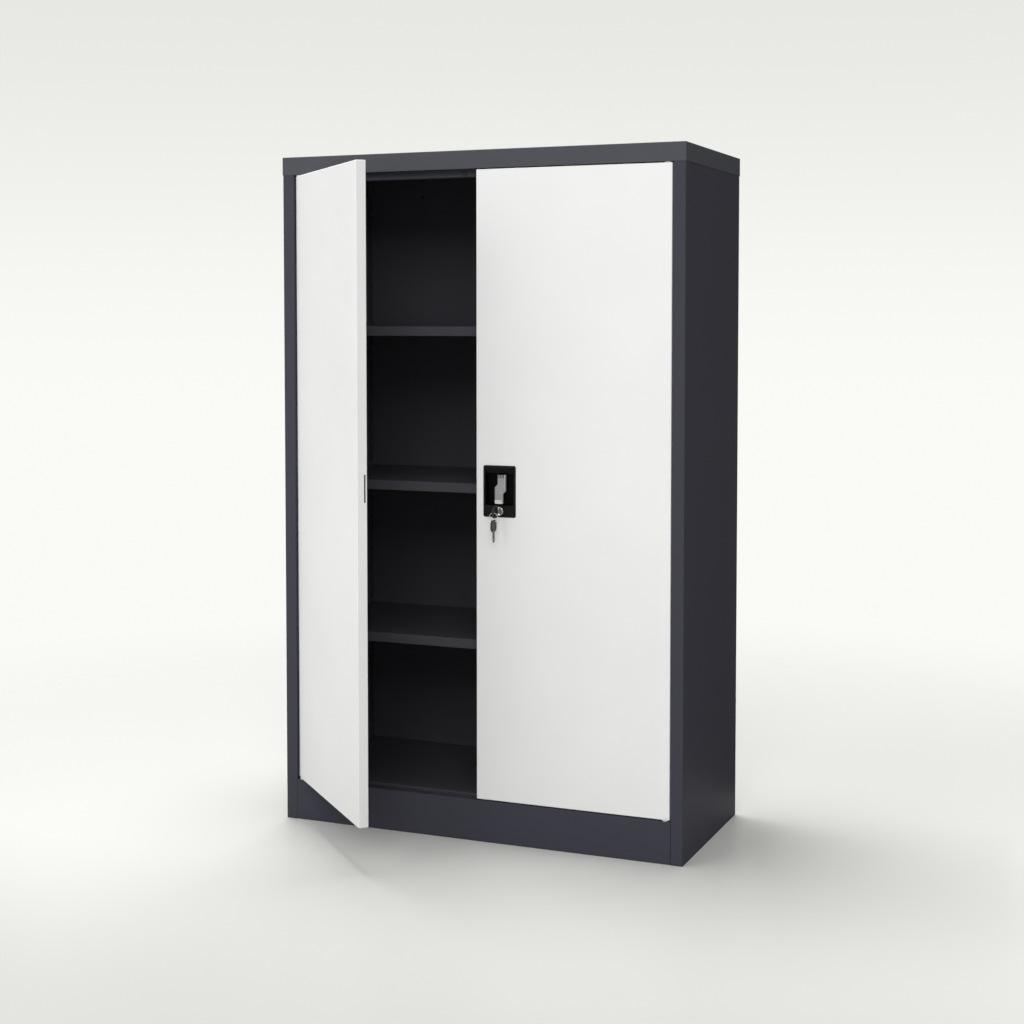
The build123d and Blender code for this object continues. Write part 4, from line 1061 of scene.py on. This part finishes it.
class CABINET_OT_cylinder(Operator):
    """Chromed cylinder of the key lock with its bezel"""

    bl_idname = "cabinet.cylinder"
    bl_label = "Lock cylinder"

    def execute(self, context):
        tone = context.scene.cabinet_lock.chrome_colour
        chrome = plated_metal("chrome", tone, rough=0.10, grain=0.0005, tarnish=0.05)
        low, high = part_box("lock_cylinder")
        middle = (low + high) / 2
        top, seat = low.y, low.y + 1.8 * MM
        bore, rim, barrel, neck, edge = 5.05 * MM, 9 * MM, 8 * MM, 7 * MM, 1.4 * MM
        mouth, flare, flare_top = 1.1 * MM, 0.25 * MM, 0.75 * MM
        play, chamfer, steps = 0.05 * MM, 0.3 * MM, 8
        profile = [(bore, high.y), (bore, top + mouth), (bore + flare, top + flare_top)]
        for i in range(steps + 1):
            turn = pi / 2 * i / steps
            profile.append((rim - edge + edge * sin(turn), top + edge * (1 - cos(turn))))
        clip_low, clip_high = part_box("cylinder_clip")
        groove_low, groove_high = clip_low.y - play, clip_high.y + play
        profile += [(rim, seat), (barrel, seat), (barrel, groove_low), (neck, groove_low),
                    (neck, groove_high), (barrel, groove_high)]
        profile += [(barrel, high.y - chamfer), (barrel - chamfer, high.y), (bore, high.y)]
        cylinder = lathe(profile, (middle.x, middle.z), steps=96)
        settle(piece("chromed_cylinder", cylinder, chrome), "right_door", "chromed_metal", "lock_cylinder")
        return {"FINISHED"}


def key_point(y, z, x):
    """A point of a key, whose outline lies along Y and Z and whose thickness along X."""
    return (x, y, z)


# Depths of a blade's cuts in mm, from its head to its tip
CUTS = (1.3, 0.5, 1.8, 0.9, 1.5)


def blade_mesh(keys):
    """A key's blade along Y with its tip at the origin: cuts along one edge and a milled groove."""
    half, full, thick, edge = 4 * MM, 28 * MM, 1.0 * MM, 0.18 * MM
    shoulder, first_cut, tip_start, tip = -19 * MM, -17.5 * MM, -2.5 * MM, 1.5 * MM
    flat, ramp, crest, last_crest = 0.9 * MM, 0.5 * MM, 0.25 * MM, 0.6 * MM
    lower = [(-full, -half), (shoulder, -half)]
    for i, depth in enumerate(CUTS):
        place = first_cut + i * keys.cut_pitch
        lower += [(place, -half + depth * MM), (place + flat, -half + depth * MM)]
        lower.append((place + keys.cut_pitch - ramp, -half + crest))
    lower = lower[:-1] + [(tip_start, -half + last_crest), (0.0, -tip)]
    corners = lower + [(0.0, tip), (tip_start, half), (-full, half)]
    rise = [(edge, -thick), (0.0, -thick + edge), (0.0, thick - edge), (edge, thick)]
    mesh = slab(corners, [0.0] * len(corners), rise, key_point)
    groove_start, groove_end, groove_z = -21 * MM, 5 * MM, 0.6 * MM
    near, past, wide = thick - keys.groove_depth, thick + 1 * MM, keys.groove_width / 2
    grooves = []
    for low_x, high_x in ((-past, -near), (near, past)):
        low = (low_x, groove_start, groove_z - wide)
        grooves.append(box_mesh(low, (high_x, groove_end, groove_z + wide)))
    return carve(mesh, grooves)


def head_mesh(keys):
    """A key's moulded head along Y, with sunk panels and a hole for the ring."""
    near, far, half, thick = -22 * MM, -45 * MM, 11.5 * MM, 2.25 * MM
    cut, corner_radius, hole_inset = 5 * MM, 2.2 * MM, 4 * MM
    corners = [(far, -half + cut), (far + cut, -half), (near - cut, -half), (near, -half + cut)]
    corners += [(y, -z) for y, z in reversed(corners)]
    rise = [(shrink, depth - thick) for shrink, depth in rounding(keys.head_round)]
    rise += [(shrink, -depth) for shrink, depth in reversed(rise)]
    mesh = slab(corners, [corner_radius] * len(corners), rise, key_point)
    panel_half, panel_far, panel_near, panel_radius = 7.5 * MM, far + 8 * MM, near - 3.2 * MM, 2 * MM
    panel = [(panel_far, -panel_half), (panel_near, -panel_half),
             (panel_near, panel_half), (panel_far, panel_half)]
    slant, flare, past = 0.25 * MM, 0.2 * MM, thick + 1 * MM
    levels = [(slant, thick - keys.panel_depth), (0.0, thick), (-flare, past)]
    below = [(shrink, -depth) for shrink, depth in reversed(levels)]
    cutters = [slab(panel, [panel_radius] * 4, side, key_point) for side in (below, levels)]
    cutters.append(ring_hole(far + hole_inset, thick))
    return carve(mesh, cutters)


def ring_hole(place, thick):
    """The hole for the ring, along X, flared at both faces."""
    radius = 1.9 * MM
    # How much wider the hole is at places measured out from the face, in mm
    flare = ((0, -0.35), (0.35, 0.05), (1.3, 1))
    half = [(radius + wider * MM, thick + out * MM) for wider, out in flare]
    half.append((0, half[-1][1]))
    profile = [(wide, -depth) for wide, depth in reversed(half)] + half
    mesh = lathe(profile, (0, 0), steps=36)
    mesh.transform(Matrix.Translation((0, place, 0)) @ Matrix.Rotation(pi / 2, 4, "Z"))
    return mesh


class CABINET_OT_keys(Operator):
    """The key in the lock and the spare key on the ring"""

    bl_idname = "cabinet.keys"
    bl_label = "Keys"

    def execute(self, context):
        keys = context.scene.cabinet_keys
        along_y = (1.0, 0.1, 1.0)
        steel = plated_metal("key_steel", keys.steel_colour, rough=0.24, grain=0.0004, stretch=along_y)
        lock, spare = middle_of("key_blade"), middle_of("spare_key_blade")
        lock.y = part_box("key_blade")[1].y
        spare.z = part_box("spare_key_blade")[0].z
        inserted = Matrix.Translation(lock)
        hanging = Matrix.Translation(spare) @ Matrix.Rotation(-pi / 2, 4, "X")
        # The key in the lock gets a darker copy of the heads' moulding, as painted shade
        for name, place, darker in (("key", inserted, keys.painted_head_shade), ("spare_key", hanging, 1.0)):
            tone = [channel * darker for channel in keys.head_colour]
            moulding = moulded_plastic(f"{name}_moulding", tone, rough=0.42, grain=0.0005, depth=0.000012)
            blade, head = blade_mesh(keys), head_mesh(keys)
            blade.transform(place)
            head.transform(place)
            settle(piece(f"cut_{name}_blade", blade, steel), name, "key_steel", f"{name}_blade")
            settle(piece(f"moulded_{name}_head", head, moulding), name, "key_moulding", f"{name}_head")
        return {"FINISHED"}


class CABINET_OT_key_ring(Operator):
    """Split ring of two turns of wire"""

    bl_idname = "cabinet.key_ring"
    bl_label = "Key ring"

    def execute(self, context):
        keys = context.scene.cabinet_keys
        steel = plated_metal("ring_steel", keys.ring_colour, rough=0.22, grain=0.0004,
                             tarnish=0.1, metal=0.4)
        low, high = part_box("key_ring")
        middle = (low + high) / 2
        slack = 0.01 * MM
        wire = (high.y - low.y) / 4 - slack
        radius = (high.x - low.x) / 2 - 2 * wire
        turns, start, steps, sides = 1.94, radians(40), 150, 14
        apart, crossing, tip, taper_steps = 1.01, 9.0, 1.5, 4
        rings = []
        for i in range(steps + 1):
            turn = 2 * pi * turns * i / steps + start
            lift = max(-1.0, min(1.0, (i / steps - 0.5) * crossing))
            spoke = Vector((cos(turn), 0, sin(turn)))
            centre = middle + spoke * radius + Vector((0, lift * wire * apart, 0))
            taper = min(1.0, (min(i, steps - i) + tip) / taper_steps)
            ring = []
            for j in range(sides):
                around = 2 * pi * j / sides
                ring.append(centre + (spoke * cos(around) + Vector((0, sin(around), 0))) * wire * taper)
            rings.append(ring)
        settle(piece("split_ring", skinned(rings), steel), "key_ring", "key_steel", "key_ring")
        return {"FINISHED"}


# Each soft box's name and setting, its place, what it points at, its width and its height, in metres
LIGHTS = (
    ("overhead", (-0.6, 0.66, 5.0), (0.0, -0.05, 0.0), 2.2, 2.2),
    ("front", (-3.9, -5.0, 4.2), (0.0, 0.0, 0.8), 5.0, 3.4),
    ("fill", (2.0, -5.9, 3.9), (0.0, 0.0, 0.8), 3.6, 2.5),
)


class CABINET_OT_studio(Operator):
    """Camera, floor, backdrop and lights"""

    bl_idname = "cabinet.studio"
    bl_label = "Studio"

    def execute(self, context):
        studio = context.scene.cabinet_studio
        lens = bpy.data.cameras.new("camera")
        lens.sensor_width = 36
        lens.lens = studio.lens
        lens.shift_y = studio.shift
        camera = placed("camera", lens)
        camera.location = studio.camera_place
        camera.rotation_euler = (pi / 2 - studio.camera_tilt, 0, studio.camera_turn)
        context.scene.camera = camera
        context.scene.view_settings.view_transform = "Standard"
        for name, place, aim, width, height in LIGHTS:
            light = bpy.data.lights.new(name, "AREA")
            light.shape = "RECTANGLE"
            light.size, light.size_y = width, height
            light.energy = getattr(studio, name)
            lamp = placed(name, light)
            lamp.location = place
            lamp.rotation_euler = (Vector(aim) - Vector(place)).to_track_quat("-Z", "Y").to_euler()
        studio_floor(studio)
        studio_flag()
        studio_backdrop(studio)
        return {"FINISHED"}


def studio_floor(studio):
    """A wide pale floor that fades out before its edge. Towards the camera it is painted darker, as painted
    shade, and it is darker for the light that it throws back."""
    tone, front_shade_tone, bounce_tone = studio.floor_colour, 0.78, 0.60
    clear_start, clear_end, near_start, near_end = 0.75, 2.6, -1.3, -0.4
    build = bmesh.new()
    bmesh.ops.create_circle(build, cap_ends=True, radius=9.0, segments=96)
    finish = Finish("studio_floor")
    reach = (finish.x * finish.x + finish.y * finish.y) ** 0.5
    fade = reach.ramp(clear_start, clear_end)
    smudge = finish.noise(0.6, detail=3.0)
    # Painted shade: the floor is drawn darker towards the camera
    near = finish.y.ramp(near_start, near_end, 1.0, 0.0)
    shade = finish.blend(smudge, rgba(tone, 0.99), rgba(tone, 1.01))
    shade = finish.blend(near, shade, rgba(tone, front_shade_tone))
    values = {
        "Base Color": finish.blend(finish.seen(), rgba(tone, bounce_tone), shade),
        "Roughness": 0.30 + smudge * 0.08,
        "IOR": 1.10,
    }
    solid = finish.node("ShaderNodeBsdfPrincipled", {}, values)[0]
    clear = finish.node("ShaderNodeBsdfTransparent")[0]
    mixed = finish.node("ShaderNodeMixShader", {}, {0: fade, 1: solid, 2: clear})[0]
    finish.node("ShaderNodeOutputMaterial", {}, {0: mixed})
    floor = placed("studio_floor", plain_mesh(build))
    floor.data.materials.append(finish.material)
    floor.location.z = -0.3 * MM
    return floor


def studio_flag():
    """A black panel behind the cabinet's right side, seen only in reflections, that keeps the side dark."""
    near_x, far_x, y, low, high = 0.45, 1.0, 0.30, 0.02, 1.5
    build = bmesh.new()
    corners = [(near_x, y, low), (far_x, y, low), (far_x, y, high), (near_x, y, high)]
    build.faces.new([build.verts.new(corner) for corner in corners])
    finish = Finish("studio_flag")
    dark, darkest = (0.008, 0.008, 0.008, 1.0), (0.004, 0.004, 0.004, 1.0)
    shade = finish.blend(finish.noise(0.002), darkest, dark)
    black = finish.close({"Base Color": shade}, {"Roughness": 1.0, "Specular IOR Level": 0.0})
    flag = placed("studio_flag", plain_mesh(build))
    flag.data.materials.append(black)
    flag.visible_camera = False
    flag.visible_diffuse = False
    flag.visible_shadow = False
    return flag


def studio_backdrop(studio):
    """A pale surround that is seen at its own colour, with painted shade above and below a band, and lights
    the cabinet more softly.
    """
    world = bpy.data.worlds.new("studio")
    world.use_nodes = True
    recipe = Recipe(world.node_tree)
    recipe.tree.nodes.clear()
    way = recipe.node("ShaderNodeTexCoord")["Generated"]
    axes = recipe.node("ShaderNodeSeparateXYZ", {}, {0: way})
    east, level = axes[0], axes[2]
    band_drop, band, backdrop_shade_tone = 0.13, (0.08, 0.34), 0.83
    upward, top_light, eastward, east_light = (0.30, 0.75), 0.30, (0.45, 0.95), 0.35
    # Painted shade: the backdrop is drawn darker away from a band just below the level
    dim = (level + band_drop).size().ramp(*band)
    tone = recipe.blend(dim, rgba(studio.backdrop_colour), rgba(studio.backdrop_colour, backdrop_shade_tone))
    lighting = level.size().ramp(*upward, 1.0, top_light) * east.ramp(*eastward, 1.0, east_light)
    lighting = lighting * studio.ambient
    strength = recipe.seen() * (1 - lighting) + lighting
    shine = recipe.node("ShaderNodeBackground", {}, {"Color": tone, "Strength": strength})[0]
    recipe.node("ShaderNodeOutputWorld", {}, {0: shine})
    bpy.context.scene.world = world


STEPS = (
    CABINET_OT_paint,
    CABINET_OT_hardware,
    CABINET_OT_screws,
    CABINET_OT_clips,
    CABINET_OT_hole_plugs,
    CABINET_OT_bumpers,
    CABINET_OT_housing,
    CABINET_OT_lever,
    CABINET_OT_cylinder,
    CABINET_OT_keys,
    CABINET_OT_key_ring,
    CABINET_OT_studio,
)
SETTINGS = {
    "cabinet_paint": PaintSettings,
    "cabinet_hardware": HardwareSettings,
    "cabinet_screws": ScrewSettings,
    "cabinet_clips": ClipSettings,
    "cabinet_lock": LockSettings,
    "cabinet_keys": KeySettings,
    "cabinet_studio": StudioSettings,
}


class CABINET_PT_pieces(Panel):
    """The cabinet's pieces and their settings"""

    bl_label = "Office cabinet"
    bl_idname = "CABINET_PT_pieces"
    bl_space_type = "VIEW_3D"
    bl_region_type = "UI"
    bl_category = "Cabinet"

    def draw(self, context):
        for step in STEPS:
            self.layout.operator(step.bl_idname)
        for name, group in SETTINGS.items():
            box = self.layout.box()
            box.label(text=group.__doc__)
            for key in group.__annotations__:
                box.prop(getattr(context.scene, name), key)


CLASSES = (*SETTINGS.values(), *STEPS, CABINET_PT_pieces)


def register():
    for group in CLASSES:
        bpy.utils.register_class(group)
    for name, group in SETTINGS.items():
        setattr(bpy.types.Scene, name, PointerProperty(type=group))


def unregister():
    for name in SETTINGS:
        delattr(bpy.types.Scene, name)
    for group in reversed(CLASSES):
        bpy.utils.unregister_class(group)


def main():
    register()
    for step in STEPS:
        group, name = step.bl_idname.split(".")
        getattr(getattr(bpy.ops, group), name)()


if __name__ == "__main__":
    main()
